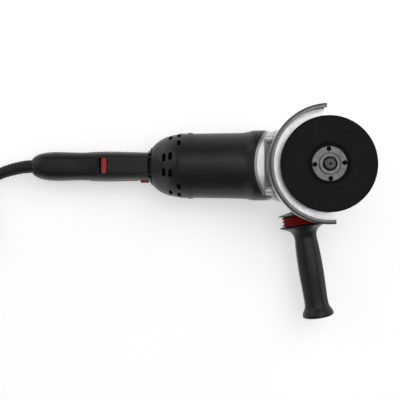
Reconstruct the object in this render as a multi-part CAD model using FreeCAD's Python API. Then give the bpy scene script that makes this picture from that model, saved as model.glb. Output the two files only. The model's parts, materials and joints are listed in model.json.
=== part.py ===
"""A 125 mm class angle grinder with a long slim handle, lying on its back.

Frame, in millimetres: the origin is where the spindle axis meets the flat face
of the gear head, which lies on the bench at z = 0. +Z runs out along the
spindle to the disc, +X runs from the handle to the gear head, and y = 0 is the
middle plane. The motor axis is parallel to X.
"""

import math
import os

import FreeCAD
import Part

V = FreeCAD.Vector
X = (1, 0, 0)
Y = (0, 1, 0)
Z = (0, 0, 1)
BACK = (-1, 0, 0)

# ---------------------------------------------------------------- gaps and fits
RUN = 0.05       # radial gap where one piece turns in another
SLIDE = 0.15     # gap each side where one piece slides in another
CLEAR = 0.5      # gap between pieces that pass each other
SEAT = 0.02      # radial gap of a piece set in a pocket of its own body

# ---------------------------------------------------------------- wheel and guard
DISC_R = 57.5
DISC_T = 6.0
DISC_BORE_R = 11.115
DISH_R = 22.6            # flat of the depressed centre
DISH_SLOPE = 3.4         # how far the dish widens up to the face
DISH_DEPTH = 4.0
NUT_R = 21.0
NUT_T = 5.0
NUT_COLLAR_R = 12.6
NUT_COLLAR_T = 2.0
NUT_HOLES_PCD = 35.0
NUT_HOLE_R = 2.9
NUT_TURN = 3.5           # degrees that the nut's holes are turned from X and Y
FLANGE_R = 20.0
FLANGE_T = 4.6
GUARD_GAP = 8.5          # from the wheel's rim to the rolled lip
LIP = 5.5                # width of the rolled lip
GUARD_SHEET = 1.6
GUARD_START = 93.2       # degrees about +Z from +X
GUARD_SWEEP = 182.7
GUARD_OVER = 5.0         # how far the lip stands past the wheel's face
BAND_T = 2.2

# ---------------------------------------------------------------- gears
GEAR_R = 24.0            # pitch radius of the crown gear at its outer end
CROWN_TEETH = 37
PINION_TEETH = 10
FACE = 7.0               # length of the teeth
ADDENDUM = 0.75          # in modules
DEDENDUM = 1.15
TOOTH_SHARE = 0.36       # tooth thickness as a share of the tooth pitch
FLANK = 20.0
SHAFT_R = 4.0
SHAFT_TIP_R = 2.5
SPINDLE_R = 6.0
SPINDLE_END_R = 4.0
SHOULDER_R = 9.0
THREAD_R = 7.0

# ---------------------------------------------------------------- body
BODY_R = 40.3            # motor housing at its rear end
FLARE = 3.2              # how much wider the flange at the gear head is
BENCH_GAP = 0.5          # from the bench to the flange
WALL = 2.5
STATOR_R = 36.0
STATOR_LEN = 37.0
CORE_R = 21.5
CORE_LEN = 35.0
BORE_R = 22.3
FAN_R = 31.5
FAN_T = 10.0
COMMUTATOR_R = 12.5
COMMUTATOR_T = 12.5
HEAD_WALL = 10.0         # from the gear chamber to the outside of the head
SEAM_R = 65.5            # the curved seam between motor housing and gear head
SEAM_BACK = 13.9         # the seam's middle, behind the front of the flange
SCREW_Y = 31.5
SCREW_Z = 27.5
CASE_OVER = 20.0         # from the motor axis to the joint face of the case
COVER_T = 5.0
NECK_R = 21.5
NECK_H = 12.0

# ---------------------------------------------------------------- handle
COVER_LEN = 46.5
HANDLE_LEN = 152.0       # from the rear cover to the cord's end of the handle
HANDLE_WALL = 2.6
GRIP_T = 1.2
TRIM_PROUD = 0.6         # how far the red line stands out of the handle
TRIGGER_W = 18.7
TRIGGER_LEN = 50.7
TRIGGER_T = 2.4
PIVOT_R = 1.5
BUTTON_LEN = 10.4

# ---------------------------------------------------------------- side handle
SIDE_TILT = 9.4
SIDE_X = -26.3
SIDE_OUT = 51.8
SIDE_BACK_Z = 4.0        # side-handle axis, this far towards the bench from the motor axis
SIDE_BOLT_R = 4.0
SIDE_LEN = 139.5

# ---------------------------------------------------------------- cord
CORD_R = 4.25
SLEEVE_R = 8.2
SLEEVE_LEN = 60.0
COIL_X, COIL_Y = -498.0, -62.0
COIL_R = 50.0
COIL_WIDE = 26.0
COIL_HIGH = 25.5

# ---------------------------------------------------------------- derived places
GUARD_R = DISC_R + GUARD_GAP + LIP
BODY_HALF = BODY_R + FLARE
MOTOR_Z = BODY_HALF + BENCH_GAP
PINION_R = GEAR_R * PINION_TEETH / CROWN_TEETH
MODULE = 2 * GEAR_R / CROWN_TEETH

CASE_Z = MOTOR_Z + CASE_OVER
BEARING_Z = CASE_Z - 2
BEARING_T = 10.0
BEARING_R = 16.0
NECK_Z = CASE_Z + COVER_T
NECK_TOP = NECK_Z + NECK_H
PLATE_Z = NECK_TOP - 1
SHOULDER_Z = NECK_TOP + 3
FLANGE_Z = SHOULDER_Z - 0.6
HUB_Z = FLANGE_Z + FLANGE_T
RIM_Z = HUB_Z + DISH_DEPTH
FACE_Z = RIM_Z + DISC_T
NUT_Z = HUB_Z + DISC_T
TIP_Z = NUT_Z + NUT_T + 5
LIP_Z = FACE_Z + GUARD_OVER

CHAMBER_R = GEAR_R + 5
HEAD_R = CHAMBER_R + HEAD_WALL
CROWN_Z = MOTOR_Z + 6.2
CROWN_TOP = CASE_Z - 6

FRONT_X = -(GUARD_R + 2.5)
SEAM_X = FRONT_X - SEAM_BACK
SEAM_CX = SEAM_X + SEAM_R
SPIGOT_R = STATOR_R + 0.4
PLATE_X = FRONT_X - 3
PLATE_T = 4.0
FAN_X = PLATE_X - PLATE_T - 2
BAFFLE_X = FAN_X - FAN_T - 4
COIL_END = 3.5
STATOR_X = BAFFLE_X - 2 - COIL_END - 1.5
CORE_X = STATOR_X - 1
WIND_T = 4.2
COMM_X = CORE_X - CORE_LEN - WIND_T - 2.3
BRUSH_X = COMM_X - COMMUTATOR_T / 2
REAR_BEARING_X = COMM_X - COMMUTATOR_T - 2
REAR_BEARING_T = 7.0
REAR_BEARING_R = 11.0
MOTOR_END = REAR_BEARING_X - 5.5
FRONT_BEARING_X = -(GEAR_R + 9)
FRONT_BEARING_T = 9.0
FRONT_BEARING_R = 15.0
HUB_R = FRONT_BEARING_R + 2.5
SCREW_HEAD_X = FRONT_X + 9

COVER_END = MOTOR_END - COVER_LEN
HANDLE_END = COVER_END - HANDLE_LEN
HANDLE_Z = 26.0

SIDE_Z = MOTOR_Z - SIDE_BACK_Z
SIDE_DIR = (math.sin(math.radians(SIDE_TILT)), -math.cos(math.radians(SIDE_TILT)), 0)
SIDE_AT = (SIDE_X, -SIDE_OUT, SIDE_Z)
LOCK_X = 12.5
LOCK_R = 2.4


# ---------------------------------------------------------------- shapes
def rod(r, start, direction, length):
    """A round bar."""
    return Part.makeCylinder(r, length, V(*start), V(*direction))


def pipe(r_out, r_in, start, direction, length):
    """A round bar with a hole right through it."""
    return rod(r_out, start, direction, length).cut(rod(r_in, start, direction, length))


def block(x0, x1, y0, y1, z0, z1):
    """A box between two corners."""
    return Part.makeBox(x1 - x0, y1 - y0, z1 - z0, V(x0, y0, z0))


def turned(points, start=(0, 0, 0), direction=Z, first=None, angle=360.0):
    """A turned solid. points are (distance along the axis, radius)."""
    origin = V(*start)
    axis = V(*direction)
    axis.normalize()
    if first is None:
        first = (1, 0, 0) if abs(axis.z) > 0.9 else tuple(axis.cross(V(*Z)))
    side = V(*first)
    side.normalize()
    ring = [origin + axis * a + side * r for a, r in points]
    face = Part.Face(Part.makePolygon(ring + [ring[0]]))
    return face.revolve(origin, axis, angle)


def fused(shapes):
    """One solid made of several."""
    whole = shapes[0]
    if len(shapes) > 1:
        whole = whole.fuse(shapes[1:])
    return whole.removeSplitter()


def section(x, half, low, high, power=2.0, less=0.0):
    """A closed rounded outline across X, from a circle (power 2) to nearly a square."""
    count = 32
    mid = (low + high) / 2
    tall = (high - low) / 2 - less
    wide = half - less
    points = []
    for i in range(count):
        a = 2 * math.pi * i / count
        c = abs(math.cos(a)) / wide
        s = abs(math.sin(a)) / tall
        r = (c**power + s**power) ** (-1 / power)
        points.append(V(x, r * math.cos(a), mid + r * math.sin(a)))
    curve = Part.BSplineCurve()
    curve.interpolate(Points=points, PeriodicFlag=True)
    return Part.Wire([curve.toShape()])


def skin(rows, less=0.0):
    """A smooth solid through outlines (x, half, low, high, power)."""
    return Part.makeLoft([section(*row, less=less) for row in rows], True, False)


def belt(circles, low, high):
    """An upright solid with a belt around circles (x, y, r), given anticlockwise."""
    lines = []
    for (x0, y0, r0), (x1, y1, r1) in zip(circles, circles[1:] + circles[:1]):
        far = math.hypot(x1 - x0, y1 - y0)
        a = math.atan2(y1 - y0, x1 - x0) - math.acos((r0 - r1) / far)
        start = V(x0 + r0 * math.cos(a), y0 + r0 * math.sin(a), low)
        end = V(x1 + r1 * math.cos(a), y1 + r1 * math.sin(a), low)
        lines.append((start, end, a))
    edges = []
    for i, (start, end, a) in enumerate(lines):
        x, y, r = circles[(i + 1) % len(circles)]
        after = lines[(i + 1) % len(lines)]
        mid = a + ((after[2] - a) % (2 * math.pi)) / 2
        edges.append(Part.LineSegment(start, end).toShape())
        middle = V(x + r * math.cos(mid), y + r * math.sin(mid), low)
        edges.append(Part.Arc(end, middle, after[0]).toShape())
    return Part.Face(Part.Wire(edges)).extrude(V(0, 0, high - low))


def edges_at(shape, height):
    """The edges that lie in the plane z = height."""
    return [
        e
        for e in shape.Edges
        if abs(e.BoundBox.ZMin - height) < 1e-4 and abs(e.BoundBox.ZMax - height) < 1e-4
    ]


def around(shape, count, centre, direction=Z, first=0.0):
    """Copies of a shape, evenly round an axis."""
    copies = []
    for i in range(count):
        copy = shape.copy()
        copy.rotate(V(*centre), V(*direction), first + 360.0 * i / count)
        copies.append(copy)
    return copies


def across(shape):
    """The same shape on the other side of the middle plane."""
    return shape.mirror(V(0, 0, 0), V(*Y))


def hexagon(r, start, direction, length):
    """A six-sided bar, r across its corners."""
    bar = Part.makePolygon(
        [V(r * math.cos(a), r * math.sin(a), 0) for a in [math.pi / 3 * i for i in range(7)]]
    )
    bar = Part.Face(bar).extrude(V(0, 0, length))
    bar.Placement = FreeCAD.Placement(
        V(*start), FreeCAD.Rotation(V(0, 0, 1), V(*direction))
    )
    return bar


def pan_screw(start, direction, head_r, head_t, r, length):
    """A pan-head screw with a cross-shaped drive; start is under its head, and direction is its shank's."""
    at = V(*start)
    along = V(*direction)
    back = tuple(-along)
    head = turned(
        [(0, 0), (0, head_r), (head_t * 0.55, head_r), (head_t, head_r * 0.6), (head_t, 0)],
        start,
        back,
    )
    drive = []
    for turn in (0, 90):
        bar = Part.makeBox(head_r, head_r * 0.22, head_t, V(-head_r / 2, -head_r * 0.11, 0))
        bar.rotate(V(0, 0, 0), V(*Z), turn)
        drive.append(bar)
    cross = fused(drive)
    cross.Placement = FreeCAD.Placement(
        at - along * head_t * 0.5, FreeCAD.Rotation(V(0, 0, 1), -along)
    )
    return fused([rod(r, start, direction, length), head]).cut(cross)


def tooth(at, out, round_, half_pitch, height, foot, scale_to):
    """A straight bevel tooth. It narrows towards the cones' common point."""
    lean = math.tan(math.radians(FLANK))
    apex = V(0, 0, MOTOR_Z)
    outline = [
        (-half_pitch - foot * lean, -foot),
        (half_pitch + foot * lean, -foot),
        (half_pitch - height * lean, height),
        (-half_pitch + height * lean, height),
    ]
    ends = []
    for share in (1.0, scale_to):
        ring = [apex + (at + round_ * t + out * h - apex) * share for t, h in outline]
        ends.append(Part.makePolygon(ring + [ring[0]]))
    return Part.makeLoft(ends, True, True)


def bearing(r_out, r_in, start, direction, length):
    """A sealed bearing: the outer piece with its seals, and the inner ring."""
    mid = (r_out + r_in) / 2
    race = r_in + (r_out - r_in) * 0.3
    outer = pipe(r_out - SEAT, race + RUN, start, direction, length)
    groove_at = V(*start)
    along = V(*direction)
    for near in (-0.1, length - 0.5):
        ring = pipe(mid + (r_out - r_in) * 0.22, race + 0.6, groove_at + along * near, direction, 0.6)
        outer = outer.cut(ring)
    inner = pipe(race, r_in + SEAT, start, direction, length)
    return outer, inner


def path(points):
    """A line through the points, with the sharp corners rounded."""
    turns = []
    for i in range(1, len(points) - 1):
        a, b, c = (V(*p) for p in points[i - 1 : i + 2])
        back, on = a - b, c - b
        half = (math.pi - back.getAngle(on)) / 2
        cut = 0.45 * min(back.Length, on.Length)
        r = cut / math.tan(half)
        back.normalize()
        on.normalize()
        inward = back + on
        inward.normalize()
        centre = b + inward * math.hypot(r, cut)
        turns.append((b + back * cut, centre - inward * r, b + on * cut))
    edges = []
    here = V(*points[0])
    for start, middle, end in turns:
        edges.append(Part.LineSegment(here, start).toShape())
        edges.append(Part.Arc(start, middle, end).toShape())
        here = end
    edges.append(Part.LineSegment(here, V(*points[-1])).toShape())
    return Part.Wire(edges)


def tube(points, r):
    """A round bar swept along a path."""
    line = path(points)
    start = V(*points[0])
    along = V(*points[1]) - start
    ring = Part.Wire([Part.Circle(start, along, r).toShape()])
    return line.makePipeShell([ring], True, True)


parts = {}


def add(name, *solids):
    """Keep one node, as one or more separate solids."""
    parts[name] = solids[0] if len(solids) == 1 else Part.makeCompound(list(solids))


# ---------------------------------------------------------------- gear head
ratio = CROWN_TEETH / PINION_TEETH
boss_y = SIDE_OUT - 15.0
rear_x = FRONT_X + 8

flange_rows = [
    (SEAM_X - 6, BODY_HALF, BENCH_GAP, 2 * MOTOR_Z - BENCH_GAP, 3.2),
    (FRONT_X - 2, BODY_HALF, BENCH_GAP, 2 * MOTOR_Z - BENCH_GAP, 3.2),
    (FRONT_X + 9, BODY_HALF - 0.4, BENCH_GAP + 1.5, CASE_Z + 2, 3.6),
]
seam = rod(SEAM_R, (SEAM_CX, 0, -50), Z, 250)
flange = Part.makeLoft([section(*row) for row in flange_rows], True, True).common(seam)
head_mid = belt(
    [
        (0, 0, HEAD_R),
        (SIDE_X, boss_y, 15.0),
        (rear_x + 8, BODY_HALF - 9, 9.0),
        (rear_x + 8, -(BODY_HALF - 9), 9.0),
        (SIDE_X, -boss_y, 15.0),
    ],
    MOTOR_Z - 20,
    CASE_Z - 8,
)
head_mid = head_mid.makeFillet(6.0, edges_at(head_mid, MOTOR_Z - 20))
head_mid = head_mid.makeFillet(5.0, edges_at(head_mid, CASE_Z - 8))
head_top = belt(
    [(0, 0, HEAD_R), (rear_x + 8, BODY_HALF - 11, 9.0), (rear_x + 8, -(BODY_HALF - 11), 9.0)],
    MOTOR_Z - 10,
    CASE_Z,
)
head_top = head_top.makeFillet(1.5, edges_at(head_top, CASE_Z))
head_low = belt(
    [(0, 0, HEAD_R - 12), (rear_x + 6, 17.0, 9.0), (rear_x + 6, -17.0, 9.0)],
    0,
    MOTOR_Z - 10,
)
head_low = head_low.makeFillet(7.0, edges_at(head_low, 0))
pads = []
for side in (1, -1):
    out = V(SIDE_DIR[0], -side * SIDE_DIR[1], 0)
    face = V(SIDE_X, side * SIDE_OUT, SIDE_Z)
    pads.append(rod(13.0, tuple(face - out * 22), tuple(out), 22.0))
upper_bosses = [
    rod(5.2, (SEAM_X + 5, side * SCREW_Y, MOTOR_Z + SCREW_Z), X, SCREW_HEAD_X - SEAM_X - 5).common(
        seam
    )
    for side in (1, -1)
]
head = fused([flange, head_mid, head_top, head_low] + pads + upper_bosses)
head = head.cut(rod(GUARD_R + 1.5, (0, 0, PLATE_Z - 1.5), Z, 80))
head = head.cut(rod(SPIGOT_R + SEAT, (SEAM_X - 20, 0, MOTOR_Z), X, PLATE_X - SEAM_X + 20))
head = head.cut(rod(HUB_R + SEAT, (PLATE_X - 1, 0, MOTOR_Z), X, -PLATE_X - 10))
head = head.cut(rod(CHAMBER_R, (0, 0, MOTOR_Z - 18), Z, 60))
floor_boss = belt([(0, 0, 9.5), (LOCK_X, 0, 6.6)], 0, MOTOR_Z - 18)
head = head.cut(rod(HEAD_R - 18, (0, 0, 8), Z, MOTOR_Z - 20).cut(floor_boss))
head = head.cut(rod(7.0 + SEAT, (0, 0, MOTOR_Z - 30), Z, 40))
for y in (SCREW_Y, -SCREW_Y):
    for z in (MOTOR_Z + SCREW_Z, MOTOR_Z - SCREW_Z):
        head = head.cut(rod(2.5, (SEAM_X - 20, y, z), X, 60))
        head = head.cut(rod(5.0, (SCREW_HEAD_X, y, z), X, 30))
head = head.cut(rod(4.0 + SLIDE, (LOCK_X, 0, -1), Z, 15))
head = head.cut(rod(LOCK_R + SLIDE, (LOCK_X, 0, 0), Z, 60))
head = head.cut(turned([(-1, 0), (-1, 8.2), (0, 7.2), (1.6, 5.0), (1.6, 0)], (LOCK_X, 0, 0)))
for side in (1, -1):
    out = V(SIDE_DIR[0], -side * SIDE_DIR[1], 0)
    face = V(SIDE_X, side * SIDE_OUT, SIDE_Z)
    head = head.cut(rod(SIDE_BOLT_R + SEAT, tuple(face - out * 20), tuple(out), 25))
    head = head.cut(rod(16.0, tuple(face), tuple(out), 10))
top = 2 * MOTOR_Z - BENCH_GAP
head = head.cut(block(SEAM_X - 20, FRONT_X + 1, -0.18, 0.18, top - 0.35, top + 5))
cover_screw_r = CHAMBER_R + 4.6
for hole in around(rod(1.9, (cover_screw_r, 0, CASE_Z - 12), Z, 30), 4, (0, 0, 0), Z, 45):
    head = head.cut(hole)
add("gear_housing", head)

cover = turned(
    [
        (CASE_Z - 3, CHAMBER_R - SEAT),
        (CASE_Z, CHAMBER_R - SEAT),
        (CASE_Z, HEAD_R - 0.5),
        (NECK_Z - 1, HEAD_R - 0.5),
        (NECK_Z, HEAD_R - 1.5),
        (NECK_Z, NECK_R),
        (NECK_TOP - 1, NECK_R),
        (NECK_TOP, NECK_R - 1),
        (NECK_TOP, SHOULDER_R + CLEAR),
        (NECK_TOP - 4, SHOULDER_R + CLEAR),
        (NECK_TOP - 4, 14.0),
        (NECK_TOP - 7, 14.0),
        (NECK_TOP - 7, 12.0),
        (BEARING_Z + BEARING_T, 12.0),
        (BEARING_Z + BEARING_T, BEARING_R),
        (BEARING_Z, BEARING_R),
        (BEARING_Z, BEARING_R + 2),
        (CASE_Z - 3, BEARING_R + 2),
    ]
)
for hole in around(rod(2.0, (cover_screw_r, 0, CASE_Z - 12), Z, 30), 4, (0, 0, 0), Z, 45):
    cover = cover.cut(hole)
add("bearing_cover", cover)
cover_screw = pan_screw((cover_screw_r, 0, NECK_Z), (0, 0, -1), 3.4, 2.6, 1.88, 14.0)
add("cover_screws", *around(cover_screw, 4, (0, 0, 0), Z, 45))
case_screws = []
for y in (SCREW_Y, -SCREW_Y):
    for z in (MOTOR_Z + SCREW_Z, MOTOR_Z - SCREW_Z):
        case_screws.append(pan_screw((SCREW_HEAD_X, y, z), BACK, 4.4, 3.4, 2.46, 24.5))
add("gear_case_screws", *case_screws)

bearing_outer, bearing_inner = bearing(
    BEARING_R, SPINDLE_R, (0, 0, BEARING_Z), Z, BEARING_T
)
add("spindle_bearing_inner", bearing_inner)
add(
    "needle_bush",
    pipe(7.0, SPINDLE_END_R + RUN, (0, 0, MOTOR_Z - 30), Z, 12.0),
)
add("felt_seal", pipe(14.0 - SEAT, SHOULDER_R + RUN, (0, 0, NECK_TOP - 7), Z, 3.0))

lock_button = fused(
    [
        turned([(1.6, 0), (1.6, 3.2), (2.2, 4.0), (6.0, 4.0), (6.0, 0)], (LOCK_X, 0, 0)),
        rod(LOCK_R, (LOCK_X, 0, 5.0), Z, CROWN_Z - 1.0 - 5.0),
    ]
)
add("spindle_lock_button", lock_button)
helix = Part.makeHelix(1.6, 7.2, 3.3)
wire_start = Part.Wire([Part.Circle(V(3.3, 0, 0), V(0, 1, 0), 0.32).toShape()])
spring = Part.Wire(helix.Edges).makePipeShell([wire_start], True, True)
spring.translate(V(LOCK_X, 0, 6.4))
add("spindle_lock_spring", spring)

# ---------------------------------------------------------------- spindle and wheel
spindle = turned(
    [
        (MOTOR_Z - 29, 0),
        (MOTOR_Z - 29, SPINDLE_END_R - 0.5),
        (MOTOR_Z - 28.5, SPINDLE_END_R),
        (MOTOR_Z - 14, SPINDLE_END_R),
        (MOTOR_Z - 14, SPINDLE_R),
        (CROWN_TOP, SPINDLE_R),
        (CROWN_TOP, SPINDLE_R + 2.5),
        (BEARING_Z, SPINDLE_R + 2.5),
        (BEARING_Z, SPINDLE_R),
        (BEARING_Z + BEARING_T, SPINDLE_R),
        (BEARING_Z + BEARING_T, SHOULDER_R),
        (SHOULDER_Z, SHOULDER_R),
        (SHOULDER_Z, THREAD_R),
        (TIP_Z - 1.2, THREAD_R),
        (TIP_Z, THREAD_R - 1.2),
        (TIP_Z, 0),
    ]
)
spindle = spindle.cut(
    turned([(0.1, 0), (0.1, 1.6), (0, 1.6), (-3.0, 0)], (0, 0, TIP_Z))
)
add("spindle", spindle)

addendum = ADDENDUM * MODULE
dedendum = DEDENDUM * MODULE
half_tooth = TOOTH_SHARE * math.pi * MODULE / 2
inner_share = (GEAR_R - FACE) / GEAR_R
crown_root = PINION_R + dedendum
crown = turned(
    [
        (CROWN_Z, SPINDLE_R + SEAT),
        (CROWN_Z, GEAR_R - FACE - 0.6),
        (MOTOR_Z + crown_root * inner_share, GEAR_R - FACE),
        (MOTOR_Z + crown_root, GEAR_R),
        (MOTOR_Z + crown_root + 0.6, GEAR_R + 1.0),
        (CROWN_TOP - 1, GEAR_R + 1.0),
        (CROWN_TOP, GEAR_R),
        (CROWN_TOP, SPINDLE_R + SEAT),
    ]
)
crown_teeth = []
for i in range(CROWN_TEETH):
    a = math.pi + 2 * math.pi * i / CROWN_TEETH
    outward = V(math.cos(a), math.sin(a), 0)
    sideways = V(-math.sin(a), math.cos(a), 0)
    at = outward * GEAR_R + V(0, 0, MOTOR_Z + PINION_R)
    crown_teeth.append(
        tooth(at, V(0, 0, -1), sideways, half_tooth, addendum, dedendum + 0.3, inner_share)
    )
crown = fused([crown] + crown_teeth)
for hole in around(rod(LOCK_R + 0.3, (LOCK_X, 0, CROWN_Z - 3), Z, 30), 4, (0, 0, 0)):
    crown = crown.cut(hole)
add("crown_gear", crown)
add("retaining_ring", pipe(9.2, SPINDLE_R + SEAT, (0, 0, CROWN_Z - 1.2), Z, 1.2))

pinion_root = PINION_R - dedendum
pinion = turned(
    [
        (-GEAR_R - 3, SHAFT_TIP_R + SEAT),
        (-GEAR_R - 3, pinion_root),
        (-GEAR_R, pinion_root),
        (-GEAR_R + FACE, pinion_root * inner_share),
        (-GEAR_R + FACE, SHAFT_TIP_R + SEAT),
    ],
    (0, 0, MOTOR_Z),
    X,
)
pinion_teeth = []
for i in range(PINION_TEETH):
    a = 2 * math.pi * (i + 0.5) / PINION_TEETH
    outward = V(0, math.sin(a), math.cos(a))
    sideways = V(0, math.cos(a), -math.sin(a))
    at = V(-GEAR_R, 0, MOTOR_Z) + outward * PINION_R
    pinion_teeth.append(
        tooth(at, outward, sideways, half_tooth, addendum, dedendum + 0.5, inner_share)
    )
add("pinion_gear", fused([pinion] + pinion_teeth))
add(
    "pinion_nut",
    hexagon(4.4, (-GEAR_R + FACE, 0, MOTOR_Z), X, 3.6).cut(
        rod(SHAFT_TIP_R + SEAT, (-GEAR_R, 0, MOTOR_Z), X, 30)
    ),
)

inner_flange = turned(
    [
        (FLANGE_Z, SHOULDER_R + SEAT),
        (FLANGE_Z, FLANGE_R - 2),
        (FLANGE_Z + 1.4, FLANGE_R),
        (HUB_Z, FLANGE_R),
        (HUB_Z, 15.0),
        (HUB_Z - 0.6, 15.0),
        (HUB_Z - 0.6, DISC_BORE_R + 0.6),
        (HUB_Z, DISC_BORE_R + 0.6),
        (HUB_Z, DISC_BORE_R - 0.1),
        (HUB_Z + 2.4, DISC_BORE_R - 0.1),
        (HUB_Z + 2.4, THREAD_R + SEAT),
        (SHOULDER_Z, THREAD_R + SEAT),
        (SHOULDER_Z, SHOULDER_R + SEAT),
    ]
)
add("inner_flange", inner_flange)
disc = turned(
    [
        (HUB_Z, DISC_BORE_R),
        (HUB_Z, DISH_R + 2.0),
        (RIM_Z, DISH_R + DISH_SLOPE + 2.0),
        (RIM_Z, DISC_R - 0.6),
        (RIM_Z + 0.6, DISC_R),
        (FACE_Z - 0.6, DISC_R),
        (FACE_Z, DISC_R - 0.6),
        (FACE_Z, DISH_R + DISH_SLOPE),
        (NUT_Z, DISH_R),
        (NUT_Z, DISC_BORE_R),
    ]
)
add("grinding_disc", disc)
nut = turned(
    [
        (HUB_Z + 3.2, THREAD_R + SEAT),
        (HUB_Z + 3.2, DISC_BORE_R - 0.3),
        (NUT_Z, DISC_BORE_R - 0.3),
        (NUT_Z, NUT_R),
        (NUT_Z + NUT_T - 0.8, NUT_R),
        (NUT_Z + NUT_T, NUT_R - 0.8),
        (NUT_Z + NUT_T, NUT_COLLAR_R + 1.1),
        (NUT_Z + NUT_T - 1.6, NUT_COLLAR_R + 0.9),
        (NUT_Z + NUT_T - 1.6, NUT_COLLAR_R),
        (NUT_Z + NUT_T + NUT_COLLAR_T - 0.5, NUT_COLLAR_R),
        (NUT_Z + NUT_T + NUT_COLLAR_T, NUT_COLLAR_R - 0.5),
        (NUT_Z + NUT_T + NUT_COLLAR_T, THREAD_R + 1.7),
        (NUT_Z + NUT_T + NUT_COLLAR_T - 0.4, THREAD_R + 1.3),
        (NUT_Z + NUT_T + NUT_COLLAR_T - 3.6, THREAD_R + 1.1),
        (NUT_Z + NUT_T + NUT_COLLAR_T - 4.2, THREAD_R + SEAT),
    ]
)
pin_hole = rod(NUT_HOLE_R, (NUT_HOLES_PCD / 2, 0, NUT_Z - 1), Z, 20)
for hole in around(pin_hole, 4, (0, 0, 0), Z, NUT_TURN):
    nut = nut.cut(hole)
add("clamp_nut", nut)

# ---------------------------------------------------------------- guard
guard_first = (
    math.cos(math.radians(GUARD_START)),
    math.sin(math.radians(GUARD_START)),
    0,
)
wall_in = GUARD_R - GUARD_SHEET
roll = 2.4
guard = turned(
    [
        (PLATE_Z, 30.0),
        (PLATE_Z, GUARD_R - 3.5),
        (PLATE_Z + 1.0, GUARD_R - 1.0),
        (PLATE_Z + 3.5, GUARD_R),
        (LIP_Z - roll, GUARD_R),
        (LIP_Z - roll * 0.3, GUARD_R - roll * 0.3),
        (LIP_Z, GUARD_R - roll),
        (LIP_Z, GUARD_R - LIP + 0.6),
        (LIP_Z - 0.8, GUARD_R - LIP),
        (LIP_Z - GUARD_SHEET - 0.8, GUARD_R - LIP + 0.4),
        (LIP_Z - GUARD_SHEET - 0.6, wall_in - 1.6),
        (LIP_Z - GUARD_SHEET - 2.2, wall_in),
        (PLATE_Z + 4.2, wall_in),
        (PLATE_Z + GUARD_SHEET + 0.4, GUARD_R - 4.6),
        (PLATE_Z + GUARD_SHEET, GUARD_R - 6.5),
        (PLATE_Z + GUARD_SHEET, 30.0),
    ],
    first=guard_first,
    angle=GUARD_SWEEP,
)
ears_z = NECK_Z + 4.2
guard_ring = pipe(32.0, NECK_R + RUN, (0, 0, PLATE_Z), Z, GUARD_SHEET)
add("guard_shell", fused([guard, guard_ring]))
band = pipe(NECK_R + RUN + BAND_T, NECK_R + RUN, (0, 0, NECK_Z + CLEAR), Z, PLATE_Z - NECK_Z - CLEAR)
ear_out = NECK_R + RUN + BAND_T + 9.0
ears = block(NECK_R + 1.0, ear_out, -4.4, 4.4, ears_z, PLATE_Z)
band = fused([band, ears])
band = band.cut(block(NECK_R - 2, ear_out + 1, -1.2, 1.2, NECK_Z, PLATE_Z))
clamp_x = NECK_R + BAND_T + 5.2
clamp_z = (ears_z + PLATE_Z) / 2
band = band.cut(rod(1.7, (clamp_x, -10, clamp_z), Y, 20))
add("guard_clamp_band", band)
cam_y = 4.4 + 3.5
clamp_screw = fused(
    [
        rod(1.66, (clamp_x, -4.4, clamp_z), Y, 4.4 + cam_y),
        hexagon(3.2, (clamp_x, -7.2, clamp_z), Y, 2.8),
        rod(1.3, (clamp_x, cam_y, ears_z + 0.6), Z, PLATE_Z - ears_z - 1.2),
    ]
)
add("guard_clamp_screw", clamp_screw)
cam = rod(3.5 - RUN, (clamp_x, cam_y, ears_z + 0.3), Z, PLATE_Z - ears_z - 0.6)
cam = cam.cut(block(clamp_x - 5, clamp_x + 5, 0, cam_y + 4, clamp_z - 1.9, clamp_z + 1.9))
lever_arm = belt(
    [(clamp_x, cam_y + 5.4, 2.6), (clamp_x - 5.0, cam_y + 20.0, 3.0)],
    ears_z + 0.3,
    PLATE_Z - 0.3,
)
cheeks = [
    block(clamp_x - 2.6, clamp_x + 2.6, cam_y, cam_y + 5.4, z0, z1)
    for z0, z1 in ((ears_z + 0.3, clamp_z - 1.9), (clamp_z + 1.9, PLATE_Z - 0.3))
]
lever = fused([cam, lever_arm] + cheeks).cut(
    rod(1.3 + RUN, (clamp_x, cam_y, ears_z), Z, PLATE_Z - ears_z)
)
lever = lever.cut(rod(3.6, (clamp_x, cam_y, clamp_z - 1.9), Z, 3.8))
add("guard_clamp_lever", lever)

# ---------------------------------------------------------------- motor housing
full_top = 2 * MOTOR_Z - BENCH_GAP
low = MOTOR_Z - BODY_R
high = MOTOR_Z + BODY_R
bore = BODY_R - WALL
fan_room = FAN_R + 2.1
flare_x = SEAM_X - 12
barrel = turned(
    [
        (MOTOR_END, 0),
        (MOTOR_END, BODY_R),
        (MOTOR_END + 16, BODY_R),
        (MOTOR_END + 45, BODY_R + 0.5),
        (flare_x + 1, BODY_R + 0.9),
        (flare_x + 1, 0),
    ],
    (0, 0, MOTOR_Z),
    X,
)
flare_rows = [
    (flare_x, BODY_R + 1.0, low - 1.0, high + 1.0, 2.0),
    (SEAM_X - 8.5, BODY_R + 1.2, low - 1.2, high + 1.2, 2.2),
    (SEAM_X - 4.5, BODY_R + 1.9, low - 1.9, high + 1.9, 2.6),
    (SEAM_X, BODY_HALF - 0.3, BENCH_GAP + 0.3, full_top - 0.3, 3.1),
    (SEAM_X + 4, BODY_HALF, BENCH_GAP, full_top, 3.2),
    (SEAM_X + 20, BODY_HALF, BENCH_GAP, full_top, 3.2),
]
flare = Part.makeLoft([section(*row) for row in flare_rows], True, True)
motor = barrel.fuse(flare)
motor = motor.cut(rod(bore, (MOTOR_END - 1, 0, MOTOR_Z), X, BAFFLE_X - MOTOR_END + 1))
motor = motor.cut(rod(fan_room, (MOTOR_END - 1, 0, MOTOR_Z), X, 150)).cut(seam)
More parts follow.
